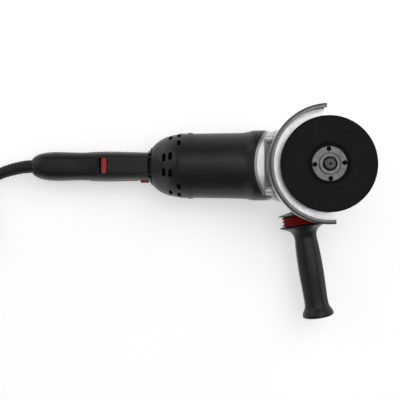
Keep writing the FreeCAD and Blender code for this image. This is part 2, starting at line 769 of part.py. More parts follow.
motor = motor.cut(rod(SPIGOT_R + SEAT, (PLATE_X - PLATE_T, 0, MOTOR_Z), X, 60))
spigot = pipe(
    SPIGOT_R, FAN_R + 2.1, (BAFFLE_X + 4, 0, MOTOR_Z), X, PLATE_X - PLATE_T - BAFFLE_X - 4
)
ribs = []
for a in (45, 135, 225, 315):
    rib = block(
        STATOR_X - STATOR_LEN - 2,
        STATOR_X,
        -2.0,
        2.0,
        MOTOR_Z + STATOR_R + SEAT,
        MOTOR_Z + bore + 1,
    )
    rib.rotate(V(0, 0, MOTOR_Z), V(*X), a)
    ribs.append(rib)
spokes = []
for a in (0, 90, 180, 270):
    spoke = block(
        MOTOR_END, MOTOR_END + 5, -3.0, 3.0, MOTOR_Z + REAR_BEARING_R + 1, MOTOR_Z + bore + 1
    )
    spoke.rotate(V(0, 0, MOTOR_Z), V(*X), a)
    spokes.append(spoke)
bearing_cup = rod(
    REAR_BEARING_R + 3,
    (REAR_BEARING_X - REAR_BEARING_T - 2, 0, MOTOR_Z),
    X,
    REAR_BEARING_T + 2,
).cut(
    rod(REAR_BEARING_R, (REAR_BEARING_X - REAR_BEARING_T, 0, MOTOR_Z), X, REAR_BEARING_T)
)
motor = fused([motor, spigot] + ribs + spokes + [bearing_cup])
for y in (SCREW_Y, -SCREW_Y):
    for z in (MOTOR_Z + SCREW_Z, MOTOR_Z - SCREW_Z):
        motor = motor.cut(rod(2.5, (SCREW_HEAD_X - 24.5, y, z), X, 60))
add("motor_housing", motor)


def sector(r0, r1, a0, a1, x0, x1):
    """A piece of a ring round the motor axis, between two angles from +Y."""
    start = (0, math.cos(math.radians(a0)), math.sin(math.radians(a0)))
    points = [(x0, r0), (x0, r1), (x1, r1), (x1, r0)]
    return turned(points, (0, 0, MOTOR_Z), X, first=start, angle=a1 - a0)


stator = pipe(STATOR_R, BORE_R, (STATOR_X - STATOR_LEN, 0, MOTOR_Z), X, STATOR_LEN)
slot_in = BORE_R + 1.7
slot_out = STATOR_R - 5.0
coils = []
for side in (90, 270):
    for start in (side - 62, side + 38):
        stator = stator.cut(
            sector(
                slot_in, slot_out, start, start + 24, STATOR_X - STATOR_LEN - 1, STATOR_X + 1
            )
        )
    legs = [
        sector(
            slot_in + 0.3,
            slot_out - 0.3,
            start + 1,
            start + 23,
            STATOR_X - STATOR_LEN - COIL_END,
            STATOR_X + COIL_END,
        )
        for start in (side - 62, side + 38)
    ]
    ends = [
        sector(slot_in + 0.3, slot_out - 0.3, side - 61, side + 61, x, x + COIL_END)
        for x in (STATOR_X, STATOR_X - STATOR_LEN - COIL_END)
    ]
    coils.append(fused(legs + ends))
add("stator_core", stator)
add("field_coils", *coils)
baffle = turned(
    [
        (BAFFLE_X - 2, 22.0),
        (BAFFLE_X - 2, bore - SEAT),
        (BAFFLE_X, bore - SEAT),
        (BAFFLE_X, 24.0),
        (BAFFLE_X + 2, 22.0),
    ],
    (0, 0, MOTOR_Z),
    X,
)
add("air_baffle", baffle)

hub_front = -(GEAR_R + 8)
plate = turned(
    [
        (PLATE_X - PLATE_T, SHAFT_R + 2),
        (PLATE_X - PLATE_T, SPIGOT_R - SEAT),
        (PLATE_X, SPIGOT_R - SEAT),
        (PLATE_X, HUB_R),
        (hub_front, HUB_R),
        (hub_front, 12.0),
        (FRONT_BEARING_X, 12.0),
        (FRONT_BEARING_X, FRONT_BEARING_R),
        (FRONT_BEARING_X - FRONT_BEARING_T, FRONT_BEARING_R),
        (FRONT_BEARING_X - FRONT_BEARING_T, SHAFT_R + 2),
    ],
    (0, 0, MOTOR_Z),
    X,
)
for vent in around(rod(4.2, (PLATE_X - 6, 0, MOTOR_Z + 27), X, 5), 8, (0, 0, MOTOR_Z), X):
    plate = plate.cut(vent.common(rod(100, (PLATE_X - 8, 0, MOTOR_Z), X, 20)))
add("bearing_plate", plate)
front_outer, front_inner = bearing(
    FRONT_BEARING_R,
    SHAFT_R + 1,
    (FRONT_BEARING_X - FRONT_BEARING_T, 0, MOTOR_Z),
    X,
    FRONT_BEARING_T,
)
rear_outer, rear_inner = bearing(
    REAR_BEARING_R,
    SHAFT_R,
    (REAR_BEARING_X - REAR_BEARING_T, 0, MOTOR_Z),
    X,
    REAR_BEARING_T,
)
add("bearing_outers", bearing_outer, front_outer, rear_outer)
add("rotor_bearing_inners", front_inner, rear_inner)
shaft = turned(
    [
        (REAR_BEARING_X - REAR_BEARING_T, 0),
        (REAR_BEARING_X - REAR_BEARING_T, SHAFT_R),
        (FRONT_BEARING_X - FRONT_BEARING_T, SHAFT_R),
        (FRONT_BEARING_X - FRONT_BEARING_T, SHAFT_R + 1),
        (FRONT_BEARING_X, SHAFT_R + 1),
        (FRONT_BEARING_X, SHAFT_R),
        (-GEAR_R - 3, SHAFT_R),
        (-GEAR_R - 3, SHAFT_TIP_R),
        (-GEAR_R + FACE + 4.4, SHAFT_TIP_R),
        (-GEAR_R + FACE + 4.4, 0),
    ],
    (0, 0, MOTOR_Z),
    X,
)
add("armature_shaft", shaft)
core = pipe(CORE_R, SHAFT_R + SEAT, (CORE_X - CORE_LEN, 0, MOTOR_Z), X, CORE_LEN)
groove = block(
    CORE_X - CORE_LEN - 1,
    CORE_X + 1,
    -0.9,
    0.9,
    MOTOR_Z + CORE_R - 6,
    MOTOR_Z + CORE_R + 1,
)
core = core.cut(around(groove, 12, (0, 0, MOTOR_Z), X))
add("armature_core", core)
windings = [
    turned(
        [
            (x, SHAFT_R + SEAT),
            (x, CORE_R - 4.5),
            (x + out * 1.4, CORE_R - 2.0),
            (x + out * WIND_T * 0.7, CORE_R - 3.0),
            (x + out * WIND_T, CORE_R - 8.0),
            (x + out * WIND_T, SHAFT_R + SEAT),
        ],
        (0, 0, MOTOR_Z),
        X,
    )
    for x, out in ((CORE_X, 1), (CORE_X - CORE_LEN, -1))
]
add("armature_windings", *windings)
commutator = pipe(
    COMMUTATOR_R, SHAFT_R + SEAT, (COMM_X - COMMUTATOR_T, 0, MOTOR_Z), X, COMMUTATOR_T
)
bar_gap = block(
    COMM_X - COMMUTATOR_T - 1,
    COMM_X - 1.6,
    -0.25,
    0.25,
    MOTOR_Z + COMMUTATOR_R - 0.7,
    MOTOR_Z + COMMUTATOR_R + 1,
)
commutator = commutator.cut(around(bar_gap, 24, (0, 0, MOTOR_Z), X, 3.75))
add("commutator", commutator)
blade = block(
    FAN_X - FAN_T, FAN_X - 1.6, -0.8, 0.8, MOTOR_Z + SHAFT_R + 6, MOTOR_Z + FAN_R
)
blade.rotate(V(0, 0, MOTOR_Z + SHAFT_R + 6), V(*X), 18)
fan_disc = rod(FAN_R, (FAN_X - FAN_T, 0, MOTOR_Z), X, FAN_T)
fan = fused(
    [
        pipe(FAN_R, SHAFT_R + SEAT, (FAN_X - 2, 0, MOTOR_Z), X, 2.0),
        pipe(SHAFT_R + 7.5, SHAFT_R + SEAT, (FAN_X - FAN_T, 0, MOTOR_Z), X, FAN_T),
    ]
    + [b.common(fan_disc) for b in around(blade, 11, (0, 0, MOTOR_Z), X)]
)
add("fan", fan)

carbon_w = 5.0
holder_bore = rod(bore, (BRUSH_X - 20, 0, MOTOR_Z), X, 40)
holders, carbons, brush_springs = [], [], []
for side in (1, -1):
    holder = block(
        BRUSH_X - carbon_w - 1.4,
        BRUSH_X + carbon_w + 1.4,
        COMMUTATOR_R + 2.5,
        bore + 4,
        MOTOR_Z - 3.2 - 1.4,
        MOTOR_Z + 3.2 + 1.4,
    ).common(holder_bore)
    holder = holder.cut(
        block(
            BRUSH_X - carbon_w,
            BRUSH_X + carbon_w,
            0,
            bore - 2,
            MOTOR_Z - 3.2,
            MOTOR_Z + 3.2,
        )
    )
    carbon = block(
        BRUSH_X - carbon_w + 0.1,
        BRUSH_X + carbon_w - 0.1,
        0,
        COMMUTATOR_R + 13,
        MOTOR_Z - 3.1,
        MOTOR_Z + 3.1,
    ).cut(rod(COMMUTATOR_R + RUN, (BRUSH_X - 20, 0, MOTOR_Z), X, 40))
    pusher = pipe(2.6, 1.9, (BRUSH_X, COMMUTATOR_R + 13, MOTOR_Z), Y, bore - 2 - COMMUTATOR_R - 13 - 0.6)
    pieces = [holder, carbon, pusher]
    if side < 0:
        pieces = [across(p) for p in pieces]
    holders.append(pieces[0])
    carbons.append(pieces[1])
    brush_springs.append(pieces[2])
add("brush_holders", *holders)
add("carbon_brushes", *carbons)
add("brush_springs", *brush_springs)

add("joint_ring", pipe(BODY_R + 1.0, BODY_R, (MOTOR_END - 1.2, 0, MOTOR_Z), X, 6.2))

# ---------------------------------------------------------------- rear cover
end_low = 2.6
cover_rows = [
    (MOTOR_END - 11, BODY_R - 0.1, low + 0.1, high - 0.1, 2.0),
    (COVER_END + 29.5, BODY_R - 1.6, low, high - 2.0, 2.05),
    (COVER_END + 23.0, BODY_R - 2.9, low - 0.2, high - 6.0, 2.1),
    (COVER_END + 16.0, BODY_R - 5.1, low - 0.5, high - 13.0, 2.15),
    (COVER_END + 10.0, BODY_R - 8.0, low - 0.9, high - 20.0, 2.25),
    (COVER_END + 4.0, BODY_R - 12.4, low - 1.2, high - 26.5, 2.4),
    (COVER_END, BODY_R - 16.6, end_low - 0.2, high - 30.5, 2.5),
]
hollow_rows = [row for row in cover_rows[:-1]]
hollow_rows.append((COVER_END + WALL, BODY_R - 14.2, low - 1.3, high - 28.2, 2.45))

# ---------------------------------------------------------------- handle
h0 = HANDLE_END
waist_x = h0 + 34.0 + 0.49 * (HANDLE_LEN - 95.0)
handle_rows = [
    (h0, 10.6, 10.0, 39.0, 2.5),
    (h0 + 3.3, 13.2, 6.2, 42.6, 2.6),
    (h0 + 8.4, 15.6, 3.0, 45.2, 2.7),
    (h0 + 13.5, 16.9, 1.2, 46.6, 2.8),
    (h0 + 18.6, 17.8, 0.3, 47.2, 2.8),
    (h0 + 23.8, 18.25, 0.0, 47.4, 2.8),
    (h0 + 34.0, 18.4, 0.3, 47.4, 2.8),
    (waist_x, 17.7, 2.2, 46.8, 2.8),
    (COVER_END - 61.0, 18.5, 2.6, 50.4, 2.8),
    (COVER_END - 42.0, 18.3, 2.6, 51.0, 2.8),
    (COVER_END - 22.7, 17.8, 2.6, 50.2, 2.8),
    (COVER_END - 9.0, 17.8, 2.6, 49.6, 2.8),
    (COVER_END + 8.0, 17.4, 4.4, 48.6, 2.8),
]
grip = skin(handle_rows)
core_skin = skin(handle_rows, less=GRIP_T)
inside_rows = [row for row in handle_rows[1:]]
inside_rows[-1] = (COVER_END + 9.0, 17.4, 4.4, 48.6, 2.8)
inside = skin(inside_rows, less=HANDLE_WALL)
cover_skin = skin(cover_rows).cut(skin(hollow_rows, less=WALL)).cut(grip)
cover_ring = pipe(BODY_R, BODY_R - WALL, (MOTOR_END, 0, MOTOR_Z), BACK, 11.0)
rear_cover = fused([cover_skin, cover_ring])


def cover_slot(x, angle, wide, tall):
    """A rounded slot through the rear cover, at an angle round the motor axis from +Z."""
    bar = belt(
        [(x, -(tall - wide) / 2, wide / 2), (x, (tall - wide) / 2, wide / 2)],
        MOTOR_Z + 12,
        MOTOR_Z + 70,
    )
    bar.rotate(V(0, 0, MOTOR_Z), V(*X), angle)
    return bar


slots = []
for side in (-1, 1):
    slots.append(cover_slot(COVER_END + 16.3, side * 19, 4.4, 10.4))
    slots.append(cover_slot(COVER_END + 24.3, side * 17, 5.0, 10.4))
    slots.append(cover_slot(COVER_END + 34.6, side * 42, 4.6, 9.0))
    for angle in (66, 90):
        slots.append(cover_slot(COVER_END + 24.3, side * angle, 4.6, 10.4))
        slots.append(cover_slot(COVER_END + 34.6, side * angle, 4.6, 10.4))
for slot in slots:
    rear_cover = rear_cover.cut(slot)
add("rear_cover", rear_cover)

recess_x0 = COVER_END - 66.0
recess_x1 = COVER_END - 0.5
recess_half = TRIGGER_W / 2 + 0.65
tray_z = 33.0
tray = block(
    recess_x0 - 2, COVER_END + 2, -recess_half - 2, recess_half + 2, tray_z - 2, 60
)
recess = fused(
    [
        block(recess_x0, recess_x1, -recess_half, recess_half, tray_z, 70),
        block(recess_x0 - 2, recess_x1, -13.4, 13.4, 46.2, 70),
    ]
)
pad_box = block(COVER_END - 88, COVER_END - 18, -30, 30, -10, 21.0)
trim_box = block(COVER_END - 80, COVER_END - 18, -30, 30, 21.0, 25.4)
over = grip.cut(core_skin)
soft = over.common(pad_box)
trim = skin(handle_rows, less=-TRIM_PROUD).cut(core_skin).common(trim_box)

screws = [
    (h0 + 24.0, 13.0),
    (waist_x + 4.0, 11.5),
    (waist_x + 4.0, 30.0),
    (COVER_END - 13.0, 12.0),
]
bosses = [rod(3.8, (x, -30, z), Y, 60).common(core_skin) for x, z in screws]
wire_z = HANDLE_Z
clamp_x0 = h0 + 8.0
clamp_len = 7.0
cradle = block(clamp_x0, clamp_x0 + clamp_len, -14, 14, 0, wire_z - CORD_R - 3).common(core_skin)
cradle = cradle.cut(block(clamp_x0 + 2, clamp_x0 + clamp_len - 2, -9, 9, 5, wire_z - CORD_R - 5))
plunger_x = COVER_END - 37.0
module_x = waist_x - 27.0
stands = [
    block(plunger_x - 10, plunger_x + 10, -4, 4, 0, 12.0).common(core_skin),
    block(module_x + 4, module_x + 22, -4, 4, 0, wire_z - 9).common(core_skin),
]
walled = fused([grip.cut(inside), tray.common(grip)] + bosses + [cradle] + stands)
walled = walled.cut(recess).cut(soft).cut(trim)
walled = walled.cut(rod(SLEEVE_R + SEAT, (h0 - 5, 0, wire_z), X, 12))
pivot_x = COVER_END - 7.8
pivot_z = 40.0
walled = walled.cut(rod(PIVOT_R + SEAT, (pivot_x, -recess_half - 1.6, pivot_z), Y, 2 * recess_half + 3.2))
walled = walled.cut(rod(2.4, (plunger_x, 0, 20), Z, 20))
for x, z in screws:
    walled = walled.cut(rod(1.6, (x, -14.0, z), Y, 26))
    walled = walled.cut(rod(3.5, (x, -14.0, z), (0, -1, 0), 20))
    soft = soft.cut(rod(3.5, (x, -14.0, z), (0, -1, 0), 20))
button_x = COVER_END - 10.2
button_z = 25.0
half_button = BUTTON_LEN / 2
walled = walled.cut(
    block(
        button_x - half_button - SLIDE,
        button_x + half_button + SLIDE,
        -30,
        -12.5,
        button_z - 5 - SLIDE,
        button_z + 5 + SLIDE,
    )
)
left = walled.common(block(h0 - 5, COVER_END + 20, 0, 40, -10, 80))
right = walled.common(block(h0 - 5, COVER_END + 20, -40, 0, -10, 80))


def biggest(shape):
    """The one solid of a shape that is meant to be in one piece."""
    return max(shape.Solids, key=lambda s: s.Volume)


add("handle_shell_left", biggest(left))
add("handle_shell_right", biggest(right))
add("soft_grip", soft)
add("red_trim", *trim.Solids)
handle_screws = [pan_screw((x, -14.0, z), Y, 3.2, 2.2, 1.56, 24.0) for x, z in screws]

pivot = rod(PIVOT_R, (pivot_x, -recess_half - 1.4, pivot_z), Y, 2 * recess_half + 2.8)
add("trigger_pin", pivot)
t1 = COVER_END - 4.3
t0 = t1 - TRIGGER_LEN
half_t = TRIGGER_W / 2
trigger_top = 51.6
paddle = block(t0, t1, -half_t, half_t, 42.5, trigger_top)
top_edges = edges_at(paddle, trigger_top)
paddle = paddle.makeFillet(1.8, top_edges)
paddle = paddle.cut(
    block(t0 + 2, t1 - 2, -half_t + 2, half_t - 2, 40, trigger_top - TRIGGER_T)
)
lugs = [
    block(pivot_x - 3.4, t1, y, y + 2, pivot_z - 3.4, 44) for y in (-half_t, half_t - 2)
]
stop = rod(3.0, (plunger_x, 0, 43.4), Z, trigger_top - TRIGGER_T - 43.4 + 0.5)
hinge_x = t0 + 1.6
hinge_z = 46.2
trigger = fused([paddle, stop] + lugs)
trigger = trigger.cut(rod(PIVOT_R + RUN, (pivot_x, -20, pivot_z), Y, 40))
notch = block(t0 - 1, t0 + 5.0, -4.6, 4.6, 42, trigger_top - 1.6)
trigger = trigger.cut(notch)
hinge_pin = rod(1.0, (hinge_x, -half_t + 1, hinge_z), Y, 2 * half_t - 2)
trigger = fused([trigger, hinge_pin])
add("trigger_paddle", trigger)

lever_x1 = t0 - 1.2
lever_x0 = lever_x1 - 6.4
lock_lever = block(lever_x0, lever_x1, -half_t, half_t, 43.6, trigger_top - 0.6)
lock_lever = lock_lever.makeChamfer(
    1.6,
    [
        e
        for e in lock_lever.Edges
        if abs(e.BoundBox.XMin - lever_x0) < 1e-4
        and abs(e.BoundBox.XMax - lever_x0) < 1e-4
        and (abs(e.BoundBox.YMax - e.BoundBox.YMin) < 1e-4 or e.BoundBox.ZMin > 50)
    ],
)
tongue = fused(
    [
        block(lever_x1 - 1, hinge_x, -4.0, 4.0, hinge_z - 1.9, hinge_z + 1.9),
        rod(1.9, (hinge_x, -4.0, hinge_z), Y, 8.0),
    ]
).cut(rod(1.0 + RUN, (hinge_x, -5, hinge_z), Y, 10))
add("lock_off_lever", fused([lock_lever, tongue]))

switch = fused(
    [
        block(plunger_x - 14, plunger_x + 14, -8.5, 8.5, 12.0, tray_z - 3),
        rod(2.0, (plunger_x, 0, tray_z - 4), Z, 8.6),
    ]
)
add("switch_module", switch)
button = block(
    button_x - half_button, button_x + half_button, -21.0, -12.2, button_z - 5, button_z + 5
)
button = button.makeFillet(
    1.2,
    [
        e
        for e in button.Edges
        if abs(e.BoundBox.YMin + 21.0) < 1e-4 and abs(e.BoundBox.YMax + 21.0) < 1e-4
    ],
)
button_flange = block(
    button_x - half_button - 1.2,
    button_x + half_button + 1.2,
    -14.2,
    -12.2,
    button_z - 5.8,
    button_z + 5.8,
)
add("lock_on_button", fused([button, button_flange]))
add("electronics_module", block(module_x, module_x + 26, -9, 9, wire_z - 9, wire_z + 9))

# ---------------------------------------------------------------- cord
lead_points = [
    (module_x, 0, wire_z),
    (h0 - 15.0, 0, wire_z),
    (h0 - 53.0, -11.5, wire_z - 3.0),
    (h0 - 71.5, -36.0, 11.5),
    (h0 - 74.0, -72.0, 5.5),
]
coil = turned(
    [
        (0, COIL_R - COIL_WIDE / 2 + 5),
        (0, COIL_R + COIL_WIDE / 2 - 5),
        (5, COIL_R + COIL_WIDE / 2),
        (COIL_HIGH - 5, COIL_R + COIL_WIDE / 2),
        (COIL_HIGH, COIL_R + COIL_WIDE / 2 - 5),
        (COIL_HIGH, COIL_R - COIL_WIDE / 2 + 5),
        (COIL_HIGH - 5, COIL_R - COIL_WIDE / 2),
        (5, COIL_R - COIL_WIDE / 2),
    ],
    (COIL_X, COIL_Y, 0),
)
lead = tube(lead_points, CORD_R).cut(coil)
tail_points = [
    (COIL_X - 57.0, COIL_Y - 6.0, 18.0),
    (COIL_X - 65.0, COIL_Y + 24.0, 12.0),
    (COIL_X - 64.0, COIL_Y + 60.0, 4.6),
    (COIL_X - 50.0, COIL_Y + 92.0, 5.0),
    (COIL_X - 24.0, COIL_Y + 103.0, 12.0),
    (COIL_X - 2.0, COIL_Y + 103.0, 13.0),
]
tail = tube(tail_points, CORD_R).cut(coil)
add("cord_lead", biggest(lead), biggest(tail))
add("cord_coil", coil)
tie_in = COIL_R - COIL_WIDE / 2
tie_out = COIL_R + COIL_WIDE / 2
tie = block(tie_in - 1.6, tie_out + 1.6, -6, 6, 0, COIL_HIGH + 1.6)
tie.rotate(V(0, 0, 0), V(*Z), 250)
tie.translate(V(COIL_X, COIL_Y, 0))
add("cord_tie", tie.cut(coil).cut(rod(300, (COIL_X, COIL_Y, -1), Z, 1.0)))

sleeve_line = path(lead_points)
spots = []
steps = 9
total = SLEEVE_LEN + 5.0
start_len = (h0 + 5.0) * -1 + module_x
for i in range(steps):
    share = i / (steps - 1)
    want = start_len + total * share
    walked = 0.0
    for edge in sleeve_line.Edges:
        if walked + edge.Length >= want:
            u = edge.getParameterByLength(want - walked)
            spot = edge.valueAt(u)
            along = edge.tangentAt(u)
            break
        walked += edge.Length
    spots.append((spot, along, share))


def sleeve_skin(r_of):
    """A round sleeve along the cord, with a radius that changes along it."""
    rings = []
    for spot, along, share in spots:
        rings.append(Part.Wire([Part.Circle(spot, along, r_of(share)).toShape()]))
    return Part.makeLoft(rings, True, False)


sleeve = sleeve_skin(lambda t: SLEEVE_R - 2.4 * max(0.0, t - 0.08) ** 1.3)
collar = pipe(SLEEVE_R + 2.0, CORD_R + SEAT, (h0 + HANDLE_WALL + 1.4, 0, wire_z), X, 2.4)
sleeve = fused([sleeve, collar]).cut(tube(lead_points, CORD_R + SEAT))
add("cord_sleeve", sleeve)
cord_clamp = block(
    clamp_x0 + 0.5, clamp_x0 + clamp_len - 0.5, -10.5, 10.5, wire_z - CORD_R - 3, wire_z + CORD_R + 2.6
)
cord_clamp = cord_clamp.cut(rod(CORD_R + SEAT, (clamp_x0 - 5, 0, wire_z), X, 20))
for y in (-7.6, 7.6):
    cord_clamp = cord_clamp.cut(rod(1.5, (clamp_x0 + clamp_len / 2, y, wire_z - 12), Z, 30))
add("cord_clamp", cord_clamp)
for y in (-7.6, 7.6):
    head_at = (clamp_x0 + clamp_len / 2, y, wire_z + CORD_R + 2.6)
    handle_screws.append(pan_screw(head_at, (0, 0, -1), 2.6, 1.8, 1.46, 9.8))
add("handle_screws", *handle_screws)

plug_x = COIL_X - 8.0
plug_y = COIL_Y + 103.0
plug_z = 13.0


def plug_ring(x, half, tall):
    """An oval outline of the plug."""
    return section(x, half, plug_z - tall, plug_z + tall, 2.4)


plug_rows = [(0, 6.2, 6.2), (10, 6.6, 6.6), (20, 12.0, 10.6), (30, 18.4, 13.0), (42, 18.4, 13.0)]
plug = Part.makeLoft([plug_ring(plug_x + x, a, b) for x, a, b in plug_rows], True, False)
plug.translate(V(0, plug_y, 0))
plug = plug.cut(rod(CORD_R + SEAT, (plug_x - 1, plug_y, plug_z), X, 9))
for y in (-9.5, 9.5):
    plug = plug.cut(rod(2.2 + SEAT, (plug_x + 34, plug_y + y, plug_z), X, 20))
add("plug_body", plug)
pins = []
for y in (-9.5, 9.5):
    pin = turned(
        [(34, 0), (34, 2.2), (42.2, 2.2), (42.2, 2.4), (59.8, 2.4), (61, 1.4), (61, 0)],
        (plug_x, plug_y + y, plug_z),
        X,
    )
    pins.append(pin)
add("plug_pins", *pins)

# ---------------------------------------------------------------- side handle
s0 = V(*SIDE_AT)
su = V(*SIDE_DIR)
bolt = turned(
    [(-16, 0), (-16, 3.2), (-15.2, SIDE_BOLT_R), (34, SIDE_BOLT_R), (34, 0)], SIDE_AT, SIDE_DIR
)
add("side_handle_bolt", bolt)
mount = turned(
    [
        (0, SIDE_BOLT_R + SEAT),
        (0, 12.0),
        (4.0, 12.6),
        (4.6, 15.0),
        (7.2, 28.0),
        (7.4, 29.2),
        (8.6, 29.2),
        (9.0, 24.0),
        (9.0, SIDE_BOLT_R + SEAT),
    ],
    SIDE_AT,
    SIDE_DIR,
)
add("side_handle_mount", mount)
damper_points = [(9.0, SIDE_BOLT_R + SEAT), (9.0, 24.6)]
for i in range(4):
    at = 9.4 + i * 3.1
    damper_points += [(at, 24.6), (at + 0.6, 26.0), (at + 1.9, 26.0), (at + 2.5, 24.6)]
damper_points += [(21.8, 24.6), (21.8, SIDE_BOLT_R + SEAT)]
add("side_handle_damper", turned(damper_points, SIDE_AT, SIDE_DIR))
grip_points = [
    (21.8, SIDE_BOLT_R + SEAT),
    (21.8, 29.0),
    (22.6, 29.8),
    (23.6, 29.6),
    (25.5, 24.5),
    (28.5, 18.6),
    (32.0, 15.6),
    (36.5, 14.65),
    (48.0, 15.3),
    (64.0, 16.1),
    (86.0, 16.2),
    (104.0, 15.8),
    (120.0, 15.6),
    (125.0, 15.9),
    (129.0, 16.9),
    (132.5, 18.6),
    (135.0, 19.5),
    (136.6, 19.5),
    (138.2, 18.8),
    (139.2, 16.5),
    (139.5, 12.0),
    (139.5, 0),
    (36.0, 0),
    (36.0, SIDE_BOLT_R + SEAT),
]
stretch = SIDE_LEN - 139.5
grip_points = [(a + (stretch if a > 100 else 0), r) for a, r in grip_points]
add("side_handle_grip", turned(grip_points, SIDE_AT, SIDE_DIR))

# ---------------------------------------------------------------- out
os.makedirs("parts", exist_ok=True)
for name, shape in parts.items():
    shape.exportStep("parts/" + name + ".step")
    solids = len(shape.Solids)
    print(name, solids, round(shape.Volume), "valid" if shape.isValid() else "BAD")
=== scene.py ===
# %% [markdown]
# # An angle grinder on a pale table
#
# The tool is a corded angle grinder with a long slim handle. It lies on its back, so the
# wheel looks up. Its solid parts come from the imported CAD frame, in metres. This file adds
# what the eye reads as real: the finishes, the flexible cord, the rubber and the soft edges.

# %% Load the frame
import json
import math

import bpy
import numpy as np
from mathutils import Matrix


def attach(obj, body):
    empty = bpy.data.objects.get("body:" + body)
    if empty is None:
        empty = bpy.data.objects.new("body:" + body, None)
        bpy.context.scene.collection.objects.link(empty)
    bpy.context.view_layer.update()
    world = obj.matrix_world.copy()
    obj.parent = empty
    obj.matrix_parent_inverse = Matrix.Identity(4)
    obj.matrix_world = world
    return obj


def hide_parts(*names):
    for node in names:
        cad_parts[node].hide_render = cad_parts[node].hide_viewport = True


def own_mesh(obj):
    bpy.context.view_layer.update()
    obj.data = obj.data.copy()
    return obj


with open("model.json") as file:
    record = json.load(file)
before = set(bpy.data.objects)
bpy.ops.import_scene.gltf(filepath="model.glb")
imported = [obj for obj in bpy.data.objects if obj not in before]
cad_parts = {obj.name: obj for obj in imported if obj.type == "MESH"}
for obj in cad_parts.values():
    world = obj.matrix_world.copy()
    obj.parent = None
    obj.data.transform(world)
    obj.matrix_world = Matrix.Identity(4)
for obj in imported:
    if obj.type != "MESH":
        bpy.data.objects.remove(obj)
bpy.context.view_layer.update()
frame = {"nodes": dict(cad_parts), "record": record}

nodes = frame["nodes"]

# %% [markdown]
# ## The camera
#
# The tool is seen straight from above, from just under a metre. A camera in Blender looks
# down its own -Z with +Y up, so with no turn at all it looks down on the table.

# %% The camera
camera_data = bpy.data.cameras.new("camera")
camera_data.sensor_width = 36.0
camera_data.lens = 64.97
camera_data.clip_start = 0.01
camera = bpy.data.objects.new("camera", camera_data)
camera.location = (-0.1527, -0.0428, 0.948)
bpy.context.scene.collection.objects.link(camera)
bpy.context.scene.camera = camera
bpy.context.scene.view_settings.view_transform = "Standard"
print("camera", round(camera.location.z, 3), "m above the table")

# %% [markdown]
# ## Finishes, and how they are made
#
# A real surface is never one flat colour. Each finish here is one Principled shader. Its
# plain values sit on the shader itself, and noise on Object coordinates drives what varies:
# the colour a little, the roughness a little, and a fine relief. Object coordinates are in
# metres, so a grain of 0.4 mm is a noise scale of 1 / 0.0004.


# %% Helpers for node trees
def new_finish(name, colour, rough, metal=0.0, specular=0.5):
    """A material with one Principled shader. Returns the material, its tree and the shader."""
    material = bpy.data.materials.new(name)
    material.use_nodes = True
    shader = material.node_tree.nodes["Principled BSDF"]
    shader.inputs["Base Color"].default_value = (*colour, 1)
    shader.inputs["Roughness"].default_value = rough
    shader.inputs["Metallic"].default_value = metal
    shader.inputs["Specular IOR Level"].default_value = specular
    return material, material.node_tree, shader


def grain(tree, size, detail=2.0, stretch=(1, 1, 1), uneven=0.0):
    """Noise with features of a size in metres, on Object coordinates. stretch below 1 along
    an axis draws the grain out along it."""
    place = tree.nodes.new("ShaderNodeTexCoord")
    turn = tree.nodes.new("ShaderNodeMapping")
    turn.inputs["Scale"].default_value = stretch
    noise = tree.nodes.new("ShaderNodeTexNoise")
    noise.inputs["Scale"].default_value = 1 / size
    noise.inputs["Detail"].default_value = detail
    noise.inputs["Distortion"].default_value = uneven
    tree.links.new(place.outputs["Object"], turn.inputs["Vector"])
    tree.links.new(turn.outputs["Vector"], noise.inputs["Vector"])
    return noise.outputs["Fac"]


def cells(tree, size):
    """Small pits of a size in metres, as a sand-blasted or eroded mould leaves them."""
    place = tree.nodes.new("ShaderNodeTexCoord")
    pits = tree.nodes.new("ShaderNodeTexVoronoi")
    pits.inputs["Scale"].default_value = 1 / size
    tree.links.new(place.outputs["Object"], pits.inputs["Vector"])
    return pits.outputs["Distance"]


def ramp(tree, value, stops):
    """Turns a value from 0 to 1 into a colour or a grey. stops are (where, colour or grey)."""
    band = tree.nodes.new("ShaderNodeValToRGB")
    marks = band.color_ramp.elements
    while len(marks) < len(stops):
        marks.new(0.5)
    for mark, (where, tone) in zip(marks, stops):
        mark.position = where
        mark.color = (*tone, 1) if isinstance(tone, tuple) else (tone, tone, tone, 1)
    tree.links.new(value, band.inputs["Fac"])
    return band.outputs["Color"]


def relief(tree, shader, layers):
    """Bumps laid over each other. layers are (height, depth in metres), the coarse one first."""
    last = None
    for height, depth in layers:
        bump = tree.nodes.new("ShaderNodeBump")
        bump.inputs["Distance"].default_value = depth
        bump.inputs["Strength"].default_value = 1.0
        tree.links.new(height, bump.inputs["Height"])
        if last:
            tree.links.new(last, bump.inputs["Normal"])
        last = bump.outputs["Normal"]
    tree.links.new(last, shader.inputs["Normal"])


def varied(
    name, low, high, rough, layers, patch=0.02, metal=0.0, specular=0.5, stretch=(1, 1, 1)
):
    """A finish whose colour drifts between two colours and whose roughness drifts between two
    values, both over patches of one size. layers are (size, detail, depth) of noise relief."""
    mean = tuple((a + b) / 2 for a, b in zip(low, high))
    material, tree, shader = new_finish(name, mean, sum(rough) / 2, metal, specular)
    drift = grain(tree, patch, 4.0, stretch, 0.4)
    tree.links.new(ramp(tree, drift, [(0.3, low), (0.7, high)]), shader.inputs["Base Color"])
    wear = grain(tree, patch * 0.21, 5.0, stretch)
    tones = [(0.3, rough[0]), (0.7, rough[1])]
    tree.links.new(ramp(tree, wear, tones), shader.inputs["Roughness"])
    reliefs = [(grain(tree, size, detail, stretch), depth) for size, detail, depth in layers]
    relief(tree, shader, reliefs)
    return material, tree, shader


